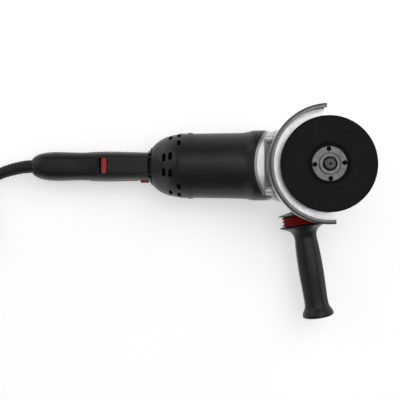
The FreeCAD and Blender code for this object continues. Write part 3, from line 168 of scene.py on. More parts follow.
def maths(tree, kind, *values):
    """One Math node. A value is a number or another node's output."""
    step = tree.nodes.new("ShaderNodeMath")
    step.operation = kind
    for socket, value in zip(step.inputs, values):
        if isinstance(value, float):
            socket.default_value = value
        else:
            tree.links.new(value, socket)
    return step.outputs[0]


def mixed(tree, share, first, second, how="MIX"):
    """Two colours mixed by a share, from 0 to 1."""
    blend = tree.nodes.new("ShaderNodeMix")
    blend.data_type = "RGBA"
    blend.blend_type = how
    sockets = (blend.inputs[0], blend.inputs[6], blend.inputs[7])
    for socket, value in zip(sockets, (share, first, second)):
        if isinstance(value, tuple):
            socket.default_value = (*value, 1)
        elif isinstance(value, float):
            socket.default_value = value
        else:
            tree.links.new(value, socket)
    return blend.outputs[2]


def far_from(tree, x, y):
    """The distance of a point from an upright axis at (x, y), from Object coordinates:
    the square root of (X - x)^2 + (Y - y)^2. Also gives the height Z."""
    place = tree.nodes.new("ShaderNodeTexCoord")
    split = tree.nodes.new("ShaderNodeSeparateXYZ")
    tree.links.new(place.outputs["Object"], split.inputs["Vector"])
    across = maths(tree, "POWER", maths(tree, "SUBTRACT", split.outputs["X"], x), 2.0)
    up = maths(tree, "POWER", maths(tree, "SUBTRACT", split.outputs["Y"], y), 2.0)
    return maths(tree, "SQRT", maths(tree, "ADD", across, up)), split.outputs["Z"]


print("helpers ready")

# %% [markdown]
# ## The metals
#
# The gear head is die-cast aluminium, blasted to an even silver with a faint orange-peel
# skin. The guard is pressed steel sheet in light grey. Turned parts are zinc plated: smooth,
# greyish, with fine rings. Gears are darker and harder. All metals reflect the studio, so
# most of their look is in how rough they are.

# %% Cast alloy
cast_alloy, tree, shader = varied(
    "cast_alloy",
    (0.56, 0.57, 0.58),
    (0.66, 0.67, 0.68),
    (0.36, 0.48),
    [(0.004, 2.0, 0.00010), (0.0007, 3.0, 0.00005)],
    metal=0.85,
)

# The flange's rim near the curved seam is painted a darker grey, as shade where the edge turns away
# from the light. The edge between the two tones is 1 / RIM_SHARP wide, which is half a millimetre.
SEAM_AXIS_X, SEAM_R = -0.0224, 0.0655
RIM_WIDE, RIM_SHARP = 0.0035, 2000.0
from_seam, _ = far_from(tree, SEAM_AXIS_X, 0.0)
rim_shade_share = maths(tree, "MULTIPLY_ADD", from_seam, RIM_SHARP, -RIM_SHARP * (SEAM_R - RIM_WIDE))
skin = shader.inputs["Base Color"].links[0].from_socket
# Painted shade: the band beyond SEAM_R - RIM_WIDE is mixed towards a dark grey.
rim_painted_shade = mixed(tree, ramp(tree, rim_shade_share, [(0.0, 0.0), (1.0, 1.0)]), skin, (0.25, 0.26, 0.26))
tree.links.new(rim_painted_shade, shader.inputs["Base Color"])
print("cast alloy ready, with a greyer rim", 1000 * RIM_WIDE, "mm wide")

# %% Plated steel
zinc_steel, _, _ = varied(
    "zinc_steel",
    (0.24, 0.24, 0.235),
    (0.38, 0.38, 0.37),
    (0.26, 0.44),
    [(0.0004, 3.0, 0.000012)],
    patch=0.006,
    metal=1.0,
)
plated_pins, _, _ = varied(
    "plated_pins",
    (0.66, 0.66, 0.62),
    (0.80, 0.80, 0.77),
    (0.12, 0.24),
    [(0.0012, 3.0, 0.00001)],
    patch=0.008,
    metal=1.0,
    stretch=(0.15, 1, 1),
)
print("plated steels ready")

# %% Darker steels and copper
dull_steel, _, _ = varied(
    "dull_steel",
    (0.045, 0.045, 0.044),
    (0.080, 0.080, 0.078),
    (0.30, 0.45),
    [(0.0004, 3.0, 0.00001)],
    patch=0.004,
    metal=1.0,
)
nut_steel, _, _ = varied(
    "nut_steel",
    (0.10, 0.10, 0.098),
    (0.16, 0.16, 0.157),
    (0.30, 0.44),
    [(0.0006, 3.0, 0.000012)],
    patch=0.005,
    metal=1.0,
)
copper, _, _ = varied(
    "copper",
    (0.45, 0.17, 0.07),
    (0.68, 0.30, 0.14),
    (0.25, 0.42),
    [(0.0010, 2.0, 0.00012)],
    patch=0.004,
    metal=0.9,
    stretch=(0.2, 1, 1),
)
print("dull steel, nut steel and copper ready")

# %% Core sheets
# Thin sheets are stacked along the motor. A wave along X draws their edges as fine lines.
SHEET_WAVE = 300
core_steel, tree, shader = new_finish("core_steel", (0.16, 0.16, 0.17), 0.5, 0.8)
place = tree.nodes.new("ShaderNodeTexCoord")
sheets = tree.nodes.new("ShaderNodeTexWave")
sheets.bands_direction = "X"
sheets.inputs["Scale"].default_value = SHEET_WAVE
sheets.inputs["Distortion"].default_value = 0.3
tree.links.new(place.outputs["Object"], sheets.inputs["Vector"])
tones = [(0.2, (0.07, 0.07, 0.075)), (0.8, (0.22, 0.22, 0.23))]
tree.links.new(ramp(tree, sheets.outputs["Fac"], tones), shader.inputs["Base Color"])
relief(tree, shader, [(sheets.outputs["Fac"], 0.0001)])
print("core sheets ready")

# %% [markdown]
# ## The guard's sheet
#
# The guard is one pressed sheet. Its flat plate keeps its light zinc coat. Its rolled lip has
# a darker grey painted in as shade, darkest at the outside of the roll and lighter on its inner
# flank, with scuff noise over it. The lip is known by where it is: its height, and its distance
# from the wheel's axis.

# %% Guard finish
LIP_LOW, LIP_R = 0.0975, 0.0715
LIP_WIDE, LIP_SHARP = 0.006, 400.0
guard_steel, tree, shader = new_finish("guard_steel", (0.75, 0.76, 0.77), 0.38, 0.85)
away, height = far_from(tree, 0.0, 0.0)
height_share = maths(tree, "MULTIPLY_ADD", height, LIP_SHARP, -LIP_SHARP * LIP_LOW)
lip_share = ramp(tree, height_share, [(0.0, 0.0), (1.0, 1.0)])
roll_shade_share = maths(tree, "MULTIPLY_ADD", away, 1 / LIP_WIDE, -(LIP_R - LIP_WIDE) / LIP_WIDE)
# Painted shade: the lip's grey darkens from its inner flank towards the outside of the roll.
lip_painted_shade = ramp(tree, roll_shade_share, [(0.10, 0.36), (0.35, 0.20), (1.0, 0.12)])
scuffs = grain(tree, 0.0016, 4.0, uneven=1.0)
lip_painted_shade = mixed(tree, 1.0, lip_painted_shade, ramp(tree, scuffs, [(0.35, 0.6), (0.65, 1.0)]), "MULTIPLY")
zinc_tones = [(0.3, (0.76, 0.77, 0.78)), (0.7, (0.87, 0.88, 0.89))]
drift = ramp(tree, grain(tree, 0.03, 4.0), zinc_tones)
tree.links.new(mixed(tree, lip_share, drift, lip_painted_shade), shader.inputs["Base Color"])
rubbed = ramp(tree, grain(tree, 0.004, 4.0), [(0.3, 0.32), (0.7, 0.44)])
tree.links.new(rubbed, shader.inputs["Roughness"])
relief(tree, shader, [(grain(tree, 0.012, 2.0), 0.00006), (grain(tree, 0.0006, 2.0), 0.00001)])
print("guard finish ready")

# %% [markdown]
# ## Plastic and rubber
#
# The motor housing and the handle are glass-filled nylon, moulded in a tool whose walls were
# eroded by sparks. That gives tiny even pits and a soft, broad shine. The grip pads are
# softer and duller, and red parts are cleaner and glossier. Rubber is matt, with a little
# dust in its pores.

# %% Plastic
dark_plastic, _, _ = varied(
    "dark_plastic",
    (0.0055, 0.0065, 0.0062),
    (0.0085, 0.0100, 0.0096),
    (0.30, 0.40),
    [(0.010, 2.0, 0.00005), (0.00045, 2.0, 0.000022)],
    patch=0.03,
    specular=0.3,
)
inner_plastic, _, _ = varied(
    "inner_plastic", (0.05, 0.05, 0.053), (0.08, 0.08, 0.084), (0.4, 0.55), [(0.0006, 2.0, 0.00003)]
)
red_plastic, _, _ = varied(
    "red_plastic",
    (0.32, 0.007, 0.009),
    (0.41, 0.012, 0.013),
    (0.30, 0.42),
    [(0.0005, 2.0, 0.00002)],
)

# %% Rubber
soft_rubber, _, _ = varied(
    "soft_rubber",
    (0.007, 0.0073, 0.0075),
    (0.011, 0.0115, 0.0118),
    (0.55, 0.70),
    [(0.0009, 3.0, 0.00006), (0.0003, 1.0, 0.00002)],
    specular=0.3,
)
red_rubber, _, _ = varied(
    "red_rubber",
    (0.13, 0.003, 0.002),
    (0.20, 0.006, 0.004),
    (0.48, 0.62),
    [(0.0006, 3.0, 0.00004)],
    specular=0.2,
)
cord_rubber, _, _ = varied(
    "cord_rubber",
    (0.006, 0.006, 0.0063),
    (0.010, 0.010, 0.0103),
    (0.40, 0.54),
    [(0.0016, 3.0, 0.00004), (0.0004, 2.0, 0.000015)],
    specular=0.3,
)
carbon, _, _ = varied(
    "carbon", (0.015, 0.015, 0.015), (0.03, 0.03, 0.03), (0.5, 0.7), [(0.0004, 2.0, 0.00003)]
)
print("plastics and rubbers ready")

# %% [markdown]
# ## The wheel's grit
#
# A grinding wheel is dark grains held in resin and glass mesh. Close up it is a bed of
# pits and crumbs under a millimetre across, and a few grains catch the light. Two layers of
# noise and one of cells make the relief. The bright specks come from a narrow ramp.

# %% Bonded grit
abrasive, tree, shader = new_finish("abrasive", (0.011, 0.012, 0.011), 0.85, 0.0, 0.18)
grits = grain(tree, 0.0007, 3.0)
patches = grain(tree, 0.012, 4.0, uneven=0.6)
resin, crumb, glint = (0.0060, 0.0068, 0.0062), (0.014, 0.0155, 0.0140), (0.05, 0.05, 0.048)
dark = ramp(tree, grits, [(0.35, resin), (0.62, crumb), (0.80, glint)])
shade = ramp(tree, patches, [(0.3, 0.75), (0.7, 1.0)])
tree.links.new(mixed(tree, 1.0, dark, shade, "MULTIPLY"), shader.inputs["Base Color"])
relief(tree, shader, [(grain(tree, 0.0016, 3.0), 0.0003), (cells(tree, 0.0008), 0.00025)])
print("grit ready")

# %% [markdown]
# ## Finishes for the CAD's own solids
#
# The record says which material slot each solid takes. The same table gives each one its
# finish, so the finishes and the record can't disagree.

# %% Dress the CAD solids
finishes = {
    "cast_alloy": cast_alloy,
    "dark_plastic": dark_plastic,
    "inner_plastic": inner_plastic,
    "soft_rubber": soft_rubber,
    "red_plastic": red_plastic,
    "red_rubber": red_rubber,
    "bright_steel": zinc_steel,
    "gear_steel": dull_steel,
    "guard_steel": guard_steel,
    "abrasive": abrasive,
    "core_steel": core_steel,
    "copper": copper,
    "carbon": carbon,
    "cord_rubber": cord_rubber,
    "plated_pins": plated_pins,
}
for part in frame["record"]["subparts"]:
    mesh = nodes[part["node"]].data
    mesh.materials.clear()
    mesh.materials.append(finishes[part["material_slot"]])
nodes["clamp_nut"].data.materials[0] = nut_steel

# %% [markdown]
# ## A helper for surfaces
#
# Most new pieces are grids: rows of points that are each one outline. Two neighbouring rows
# and two neighbouring columns make a four-sided face. The helper closes the grid round its
# columns where asked, and puts a single point on an end to close it like a pole.


# %% Put a grid of points into a mesh
def grid_mesh(name, rows, wrap=True, poles=(False, False), closed=False):
    """A mesh from an array of rows x columns x 3. Face (i, j) joins point (i, j) to (i, j+1),
    (i+1, j+1) and (i+1, j). A pole joins an end row to the mean of its points. Where closed is
    set, the last row joins the first one."""
    rows = np.asarray(rows, float)
    count, across = rows.shape[:2]
    i, j = np.meshgrid(
        np.arange(count if closed else count - 1),
        np.arange(across if wrap else across - 1),
        indexing="ij",
    )
    k = (j + 1) % across
    n = (i + 1) % count
    quads = np.stack([i * across + j, i * across + k, n * across + k, n * across + j], -1)
    faces = quads.reshape(-1, 4).tolist()
    points = rows.reshape(-1, 3)
    turn = np.arange(across)
    for end, wanted in zip((0, count - 1), poles):
        if wanted:
            points = np.vstack([points, rows[end].mean(0)])
            tip = np.full(across, len(points) - 1)
            a, b = end * across + turn, end * across + (turn + 1) % across
            ring = (b, a, tip) if end == 0 else (a, b, tip)
            faces += np.stack(ring, -1).tolist()
    mesh = bpy.data.meshes.new(name)
    mesh.from_pydata(points.tolist(), [], faces)
    mesh.shade_smooth()
    return mesh


def add_piece(name, mesh, body, slot, stands_for=()):
    """A new object that rides on a CAD body, with its slot's finish. It hides the nodes that
    it stands for."""
    piece = bpy.data.objects.new(name, mesh)
    bpy.context.scene.collection.objects.link(piece)
    mesh.materials.clear()
    mesh.materials.append(finishes[slot])
    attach(piece, body)
    if stands_for:
        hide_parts(*stands_for)
    print(name, len(mesh.vertices), "points")
    return piece


def smooth_line(stops, count):
    """Values on a smooth curve through (where, value) stops: each span eases with the slopes
    that its neighbours give it, so nothing overshoots. Returns the places and the values."""
    where, value = np.array(stops, float).T
    t = np.linspace(where[0], where[-1], count)
    slope = np.gradient(value, where)
    i = np.clip(np.searchsorted(where, t, side="right") - 1, 0, len(where) - 2)
    span = where[i + 1] - where[i]
    s = (t - where[i]) / span
    out = (
        value[i] * (2 * s**3 - 3 * s**2 + 1)
        + slope[i] * span * (s**3 - 2 * s**2 + s)
        + value[i + 1] * (3 * s**2 - 2 * s**3)
        + slope[i + 1] * span * (s**3 - s**2)
    )
    return t, out


# %% [markdown]
# ## The power cord
#
# A mains lead is one length of rubber, 8.5 mm thick and about 2.3 m long. It leaves the
# handle through a tapered sleeve, sinks to the table, and is put away as a neat tied coil
# with its plug beside it. Its line is a NURBS spline, because a real lead has no corners.
# The turns of the coil are more points of the same spline.

# %% The cord's route
CORD_D = 0.0085
TABLE_GAP = 0.0001
HANDLE_END = -0.365
COIL_CENTRE = np.array([-0.498, -0.062])
COIL_R = 0.050
STEP = 0.0087

lead = [
    (HANDLE_END, 0, 0.026),
    (HANDLE_END - 0.015, 0, 0.026),
    (HANDLE_END - 0.053, -0.0115, 0.0230),
    (HANDLE_END - 0.0715, -0.036, 0.0115),
    (HANDLE_END - 0.074, -0.072, 0.0055),
]
tail = [
    (-0.5550, -0.068, 0.0190),
    (-0.5630, -0.038, 0.0125),
    (-0.5620, -0.002, 0.0048),
    (-0.5480, 0.030, 0.0050),
    (-0.5220, 0.041, 0.0115),
    (-0.5080, 0.041, 0.0130),
    (-0.5000, 0.041, 0.0130),
]


def coil_turns(start, turns, per_turn=18):
    """Points of a wound coil. The angle falls evenly, a full circle each turn. Each turn has
    its own place in the bundle: three side by side on the table, three on those, one on top.
    Near the end of a turn the cord moves over to the next place along a smooth step."""
    places = [(1, 0), (0, 0), (-1, 0), (-1, 1), (0, 1), (1, 1), (1, 2), (1, 2)]
    t = np.arange(0.0, turns, 1 / per_turn)
    now = t.astype(int)
    share = np.clip((t - now - 0.7) / 0.3, 0, 1)
    share = share * share * (3 - 2 * share)
    place = np.array(places, float)
    at = place[now] * (1 - share)[:, None] + place[now + 1] * share[:, None]
    angle = math.radians(start) - 2 * math.pi * t
    r = COIL_R + at[:, 0] * STEP
    x = COIL_CENTRE[0] + r * np.cos(angle)
    y = COIL_CENTRE[1] + r * np.sin(angle)
    return np.stack([x, y, CORD_D / 2 + TABLE_GAP + at[:, 1] * STEP], -1)


route = np.array(lead + coil_turns(-28.0, 6.36).tolist() + tail)
print("the cord's route has", len(route), "points")

# %% The cord itself
cord_curve = bpy.data.curves.new("power_cord", "CURVE")
cord_curve.dimensions = "3D"
line = cord_curve.splines.new("NURBS")
line.points.add(len(route) - 1)
line.points.foreach_set("co", np.hstack([route, np.ones((len(route), 1))]).ravel())
line.order_u = 3
line.use_endpoint_u = True
cord_curve.resolution_u = 8
power_cord = bpy.data.objects.new("power_cord", cord_curve)
bpy.context.scene.collection.objects.link(power_cord)


def points_along(curve_object):
    """The points of a curve's own spline, as Blender works them out, with the length walked."""
    line_mesh = bpy.data.meshes.new_from_object(curve_object)
    points = np.zeros(len(line_mesh.vertices) * 3)
    line_mesh.vertices.foreach_get("co", points)
    points = points.reshape(-1, 3)
    steps = np.linalg.norm(np.diff(points, axis=0), axis=1)
    bpy.data.meshes.remove(line_mesh)
    return points, np.concatenate([[0], np.cumsum(steps)])


cord_points, cord_walk = points_along(power_cord)
cord_curve.bevel_depth = CORD_D / 2
cord_curve.bevel_resolution = 4
cord_curve.materials.append(cord_rubber)
print("the cord measures", round(float(cord_walk[-1]), 3), "m")

# %% [markdown]
# ## The cord's sleeve
#
# The sleeve keeps the lead from kinking where it leaves the handle. It is a tapered rubber
# tube with shallow rings, and it bends with the cord, so its rings stand across the cord's
# own line. A tube along a line needs two directions across it at each point. The line never
# stands upright, so "sideways" is the line's direction crossed with straight up.


# %% A tube along the cord
def tube_rows(points, walk, stations, radii, around=40):
    """Rings along a line. At each station the ring's centre is read from the line, and the
    ring is centre + r (cos a * sideways + sin a * upward)."""
    centre = np.stack([np.interp(stations, walk, points[:, i]) for i in range(3)], -1)
    ahead = np.stack([np.interp(stations + 1e-3, walk, points[:, i]) for i in range(3)], -1)
    behind = np.stack([np.interp(stations - 1e-3, walk, points[:, i]) for i in range(3)], -1)
    along = ahead - behind
    along /= np.linalg.norm(along, axis=1)[:, None]
    side = np.cross(along, [0, 0, 1])
    side /= np.linalg.norm(side, axis=1)[:, None]
    up = np.cross(side, along)
    a = np.linspace(0, 2 * math.pi, around, endpoint=False)
    ring = np.cos(a)[None, :, None] * side[:, None] + np.sin(a)[None, :, None] * up[:, None]
    return centre[:, None] + ring * np.asarray(radii)[:, None, None]


RING_DEPTH, RING_PITCH = 0.00042, 0.0048
stations, sleeve_r = smooth_line(
    [(0.0006, 0.0083), (0.012, 0.0082), (0.035, 0.0077), (0.050, 0.0069), (0.0600, 0.0057)], 150
)
rings = np.clip((stations - 0.010) / 0.004, 0, 1) * np.clip((0.057 - stations) / 0.003, 0, 1)
wave = 0.5 + 0.5 * np.cos(2 * math.pi * stations / RING_PITCH)
sleeve_r = sleeve_r - RING_DEPTH * rings * wave**2
inner = np.full(4, CORD_D / 2 + 0.00005)
all_s = np.concatenate([[0.0006], stations, [0.0602, 0.0602, 0.030, 0.0006]])
all_r = np.concatenate([[CORD_D / 2 + 0.0001], sleeve_r, [0.0053], inner[:3]])
rows = tube_rows(cord_points, cord_walk, all_s, all_r)
add_piece(
    "cord_sleeve_ringed",
    grid_mesh("cord_sleeve_ringed", rows[:, ::-1], closed=True),
    "tool_body",
    "cord_rubber",
    ["cord_sleeve"],
)

# %% [markdown]
# ## The plug
#
# A moulded plug is soft rubber over a hard core. It swells from the cord to a wide front,
# with finger ridges across its waist. Its outline at each station is a superellipse, which
# is an oval with squarer shoulders: |y/a|^p + |z/b|^p = 1. The two pins are CAD solids.

# %% Plug body
PLUG_X, PLUG_Y, PLUG_Z = -0.506, 0.041, 0.013
PLUG_SQUARE = 2.4
PLUG_TALLEST = 0.0129


def oval(x, half_y, half_z, power, around=56):
    """Outlines across X. Each point is at the angle a, at the distance
    (|cos a / half_y|^p + |sin a / half_z|^p)^(-1/p) from the middle."""
    a = np.linspace(0, 2 * math.pi, around, endpoint=False)
    c = np.abs(np.cos(a))[None, :] / np.asarray(half_y)[:, None]
    s = np.abs(np.sin(a))[None, :] / np.asarray(half_z)[:, None]
    r = (c**power + s**power) ** (-1 / power)
    x = np.repeat(np.asarray(x)[:, None], around, 1)
    return np.stack([x, r * np.cos(a), r * np.sin(a)], -1)


plug_marks = (0, 0.010, 0.019, 0.028, 0.034, 0.0412)
half_wide = (0.0060, 0.0068, 0.0112, 0.0176, 0.0185, 0.0183)
half_tall = (0.0060, 0.0066, 0.0098, 0.0126, PLUG_TALLEST, 0.0128)
plug_s, plug_wide = smooth_line(list(zip(plug_marks, half_wide)), 110)
_, plug_tall = smooth_line(list(zip(plug_marks, half_tall)), 110)
tail_rings = 0.0005 * np.clip(1 - plug_s / 0.011, 0, 1) * np.cos(2 * math.pi * plug_s / 0.0032)
ridges = 0.0007 * np.exp(-(((plug_s - 0.022) / 0.005) ** 2)) * np.cos(2 * math.pi * plug_s / 0.0028)
plug_wide = plug_wide + tail_rings + ridges
plug_tall = np.minimum(plug_tall + tail_rings + ridges, PLUG_TALLEST)
front = np.array([0.0418, 0.0420, 0.0420, 0.0420])
plug_s = np.concatenate([[0.0, 0.0], plug_s, front])
plug_wide = np.concatenate([[0.0043, 0.0055], plug_wide, [0.0180, 0.0174, 0.014, 0.004]])
plug_tall = np.concatenate([[0.0043, 0.0055], plug_tall, [0.0125, 0.0119, 0.009, 0.003]])
rows = oval(plug_s, plug_wide, plug_tall, PLUG_SQUARE) + [PLUG_X, PLUG_Y, PLUG_Z]
plug_moulding = add_piece(
    "plug_moulding",
    grid_mesh("plug_moulding", rows, poles=(True, True)),
    "tool_body",
    "cord_rubber",
    ["plug_body"],
)

# %% [markdown]
# ## The coil's tie
#
# A strap of hook-and-loop tape goes once round the bundle of turns. It is a band: its
# outline is a rounded box round the bundle, carried a little way along the coil. Solidify
# gives it a thickness, and a second short flap shows where it laps over itself.

# %% Tie strap
TIE_AT = math.radians(250)
TIE_WIDE, TIE_THICK, TIE_SQUARE = 0.012, 0.0008, 3.2
BUNDLE_R, BUNDLE_Z, BUNDLE_MIDDLE = 0.0137, 0.0130, 0.0137


def strap(first, last, lift, wide=TIE_WIDE, around=64, across=7):
    """A band round the bundle from one share of the way round to another. Its outline is a
    superellipse round the middle of the bundle; across it, the band bows out by 0.2 mm."""
    a = np.linspace(first, last, around) * 2 * math.pi
    half_r, half_z = BUNDLE_R + lift, BUNDLE_Z + lift
    p = TIE_SQUARE
    r = ((np.abs(np.cos(a)) / half_r) ** p + (np.abs(np.sin(a)) / half_z) ** p) ** (-1 / p)
    v = np.linspace(-1, 1, across)
    bow = 0.0002 * (1 - v**2)
    radial = COIL_R + (r[:, None] + bow) * np.cos(a)[:, None]
    height = BUNDLE_MIDDLE + (r[:, None] + bow) * np.sin(a)[:, None]
    sideways = np.broadcast_to(v * wide / 2, radial.shape)
    x = COIL_CENTRE[0] + radial * math.cos(TIE_AT) - sideways * math.sin(TIE_AT)
    y = COIL_CENTRE[1] + radial * math.sin(TIE_AT) + sideways * math.cos(TIE_AT)
    return np.stack([x, y, np.maximum(height, 0.0009)], -1)


def thicken(piece, thickness, offset=1.0):
    """Gives a thin sheet a wall."""
    wall = piece.modifiers.new("wall", "SOLIDIFY")
    wall.thickness = thickness
    wall.offset = offset
    wall.use_even_offset = True


band = strap(0.0, 63 / 64, 0.0)
tie_strap = add_piece(
    "tie_strap",
    grid_mesh("tie_strap", band[:, ::-1], wrap=False, closed=True),
    "tool_body",
    "cord_rubber",
    ["cord_tie"],
)
thicken(tie_strap, TIE_THICK)
flap = strap(0.05, 0.34, 0.0011, wide=0.0112, around=30)
tie_flap = add_piece(
    "tie_flap",
    grid_mesh("tie_flap", flap[:, ::-1], wrap=False),
    "tool_body",
    "cord_rubber",
)
thicken(tie_flap, TIE_THICK)

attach(power_cord, "tool_body")
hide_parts("cord_lead", "cord_coil")

# %% [markdown]
# ## The table and the light
#
# In a studio a tool is lit from above by a large soft box, on a white sweep. The table is
# one pale sheet. A metal part shows what is around it, so the sky is bright
# overhead and greyer at the horizon: flat faces turn light, rolled edges turn dark.

# %% Table
TABLE_Z = -0.0004
lines = np.linspace(-3, 3, 25)
x, y = np.meshgrid(lines, lines, indexing="ij")
table_rows = np.stack([x, y, TABLE_Z + 0 * x], -1)
table_mesh = grid_mesh("table_top", table_rows, wrap=False)
table_finish, _, shader = varied(
    "table_finish",
    (0.86, 0.86, 0.86),
    (0.88, 0.88, 0.88),
    (0.7, 0.8),
    [(0.002, 2.0, 0.00001)],
    patch=0.3,
)
shader.inputs["Emission Color"].default_value = (1, 1, 1, 1)
shader.inputs["Emission Strength"].default_value = 0.45
table_mesh.materials.append(table_finish)
table_top = bpy.data.objects.new("table_top", table_mesh)
bpy.context.scene.collection.objects.link(table_top)
print("table", table_mesh.vertices[0].co.z, "m below the tool")

# %% Light
sky = bpy.data.worlds.new("studio")
bpy.context.scene.world = sky
sky.use_nodes = True
tree = sky.node_tree
place = tree.nodes.new("ShaderNodeTexCoord")
split = tree.nodes.new("ShaderNodeSeparateXYZ")
tree.links.new(place.outputs["Generated"], split.inputs["Vector"])
tones = [(0.0, 1.0), (0.25, 0.62), (0.55, 0.30), (0.8, 0.42), (0.95, 0.80)]
side_share = maths(tree, "MULTIPLY_ADD", split.outputs["Y"], 0.5, 0.5)
side_tone = ramp(tree, side_share, [(0.15, 0.60), (0.60, 1.0)])
glow = mixed(tree, 1.0, ramp(tree, split.outputs["Z"], tones), side_tone, "MULTIPLY")
tree.links.new(glow, tree.nodes["Background"].inputs["Color"])
tree.nodes["Background"].inputs["Strength"].default_value = 0.9


TOOL_MIDDLE = np.array([-0.15, -0.04, 0.04])


def soft_box(name, place, size, power):
    """A square area light that looks at the tool's middle. It leans by the angle between
    its aim and straight down, then turns to face the same way round."""
    light = bpy.data.lights.new(name, "AREA")
    light.shape = "SQUARE"
    light.size = size
    light.energy = power
    lamp = bpy.data.objects.new(name, light)
    lamp.location = place
    aim = TOOL_MIDDLE - np.array(place)
    lean = math.atan2(math.hypot(aim[0], aim[1]), -aim[2])
    lamp.rotation_euler = (lean, 0, math.atan2(-aim[0], aim[1]))
    bpy.context.scene.collection.objects.link(lamp)


soft_box("key", (0.45, 0.50, 1.6), 1.5, 9)
soft_box("left", (-1.4, 0.6, 0.8), 0.9, 3)
soft_box("right", (1.2, 0.9, 0.8), 0.9, 0.6)
print("studio lit")

# %% [markdown]
# ## The grinding wheel
#
# A depressed-centre wheel is a turned shape: a thick rim, a dished middle, and a steel ring
# at the bore. A turned surface is a profile of (height, radius) pairs swept round the axis.
# Its face is never quite flat, so a little smooth noise moves it by a tenth of a millimetre.


# %% Turned surfaces
def turned_rows(profile, start, direction, around=160, wobble=None):
    """A profile of (distance along the axis, radius) carried round an axis. The point at
    angle a is start + along * axis + r (cos a * side + sin a * over)."""
    axis = np.array(direction, float)
    axis /= np.linalg.norm(axis)
    side = np.array([1.0, 0, 0]) if abs(axis[2]) > 0.9 else np.cross([0, 0, 1.0], axis)
    side /= np.linalg.norm(side)
    over = np.cross(axis, side)
    a = np.linspace(0, 2 * math.pi, around, endpoint=False)
    along, r = np.array(profile, float).T
    along = np.repeat(along[:, None], around, 1)
    r = np.repeat(r[:, None], around, 1)
    if wobble is not None:
        along, r = wobble(along, r, a)
    ring = np.cos(a)[None, :, None] * side + np.sin(a)[None, :, None] * over
    return np.array(start) + along[..., None] * axis + r[..., None] * ring


def fill_in(profile, gap):
    """Adds points on a profile's long straight runs, none further apart than the gap."""
    out = [profile[0]]
    for (a0, r0), (a1, r1) in zip(profile, profile[1:]):
        count = max(1, math.ceil(math.hypot(a1 - a0, r1 - r0) / gap))
        shares = [k / count for k in range(1, count + 1)]
        out += [(a0 + (a1 - a0) * k, r0 + (r1 - r0) * k) for k in shares]
    return out


print("turned surfaces ready")

# %% Wheel
HUB, RIM, FACE = 0.088, 0.092, 0.098
wheel_profile = fill_in(
    [
        (HUB, 0.0114),
        (HUB, 0.0236),
        (HUB + 0.0008, 0.0252),
        (RIM - 0.0008, 0.0274),
        (RIM, 0.0290),
        (RIM, 0.0566),
        (RIM + 0.0005, 0.0573),
        (FACE - 0.0006, 0.0574),
        (FACE, 0.0568),
        (FACE, 0.0272),
        (FACE - 0.0006, 0.0256),
        (FACE - 0.0034, 0.0232),
        (FACE - 0.0040, 0.0216),
        (FACE - 0.0040, 0.0114),
    ],
    0.0016,
)


def worn(along, r, a):
    """Moves the wheel's surface by a sum of a few slow waves round it and across it."""
    wave = np.sin(3 * a + 40 * r) + 0.6 * np.sin(11 * a - 90 * r) + 0.4 * np.sin(29 * a + 700 * r)
    face = (along > FACE - 0.001) & (r > 0.027)
    return along + np.where(face, 0.00003 * wave - 0.00006, 0), r


rows = turned_rows(wheel_profile, (0, 0, 0), (0, 0, 1), around=224, wobble=worn)
add_piece(
    "grinding_wheel",
    grid_mesh("grinding_wheel", rows, closed=True),
    "spindle_body",
    "abrasive",
    ["grinding_disc"],
)

# %% [markdown]
# ## The side handle
#
# The grip is one soft moulding with eight flats, a wide collar at its foot, and an end that
# flares so that the hand can't slip off. In section it is an octagon with rounded corners.
# The damper under it is a stack of red rubber rings.

# %% Side grip
SIDE_AT = (-0.0263, -0.0518, 0.040)
SIDE_DIR = (0.16333, -0.98657, 0)
grip_stops = [
    (0.0236, 0.0296),
    (0.0255, 0.0243),
    (0.0285, 0.0186),
    (0.0320, 0.0157),
    (0.0365, 0.01475),
    (0.0480, 0.0153),
    (0.0640, 0.0161),
    (0.0860, 0.0163),
    (0.1040, 0.0158),
    (0.1200, 0.0156),
    (0.1250, 0.0159),
    (0.1290, 0.0169),
    (0.1325, 0.0186),
    (0.1350, 0.0194),
    (0.1366, 0.0195),
    (0.1382, 0.0188),
    (0.1392, 0.0165),
    (0.1395, 0.0120),
    (0.1395, 0.0050),
]
grip_s, grip_r = smooth_line(grip_stops[:-2], 170)
grip_tail = fill_in([(grip_s[-1], grip_r[-1])] + grip_stops[-2:], 0.001)
foot = [(0.0219, 0.0045), (0.0219, 0.0285), (0.0222, 0.0292), (0.0228, 0.0297)]
grip_profile = foot + list(zip(grip_s, grip_r)) + grip_tail[1:]


def flats(along, r, a):
    """Eight flats: the distance to a flat is r cos(pi/8) / cos(b), where b is the angle from
    the middle of the nearest flat. A soft minimum with the circle rounds the corners. The
    flats fade in at the neck and out at the flare. A fine seam circles the end."""
    b = np.mod(a + math.pi / 8, math.pi / 4) - math.pi / 8
    octagon = math.cos(math.pi / 8) * 1.025 / np.cos(b)
    shape = (1 + octagon**-22) ** (-1 / 22)
    k = np.clip((along - 0.030) / 0.010, 0, 1) * np.clip((0.131 - along) / 0.008, 0, 1)
    k = k * k * (3 - 2 * k)
    seam = 0.00018 * np.exp(-(((along - 0.1262) / 0.0007) ** 2))
    return along, r * (1 + k * (shape[None, :] - 1)) - seam


rows = turned_rows(grip_profile, SIDE_AT, SIDE_DIR, around=128, wobble=flats)
add_piece(
    "side_grip",
    grid_mesh("side_grip", rows, poles=(False, True)),
    "tool_body",
    "dark_plastic",
    ["side_handle_grip"],
)

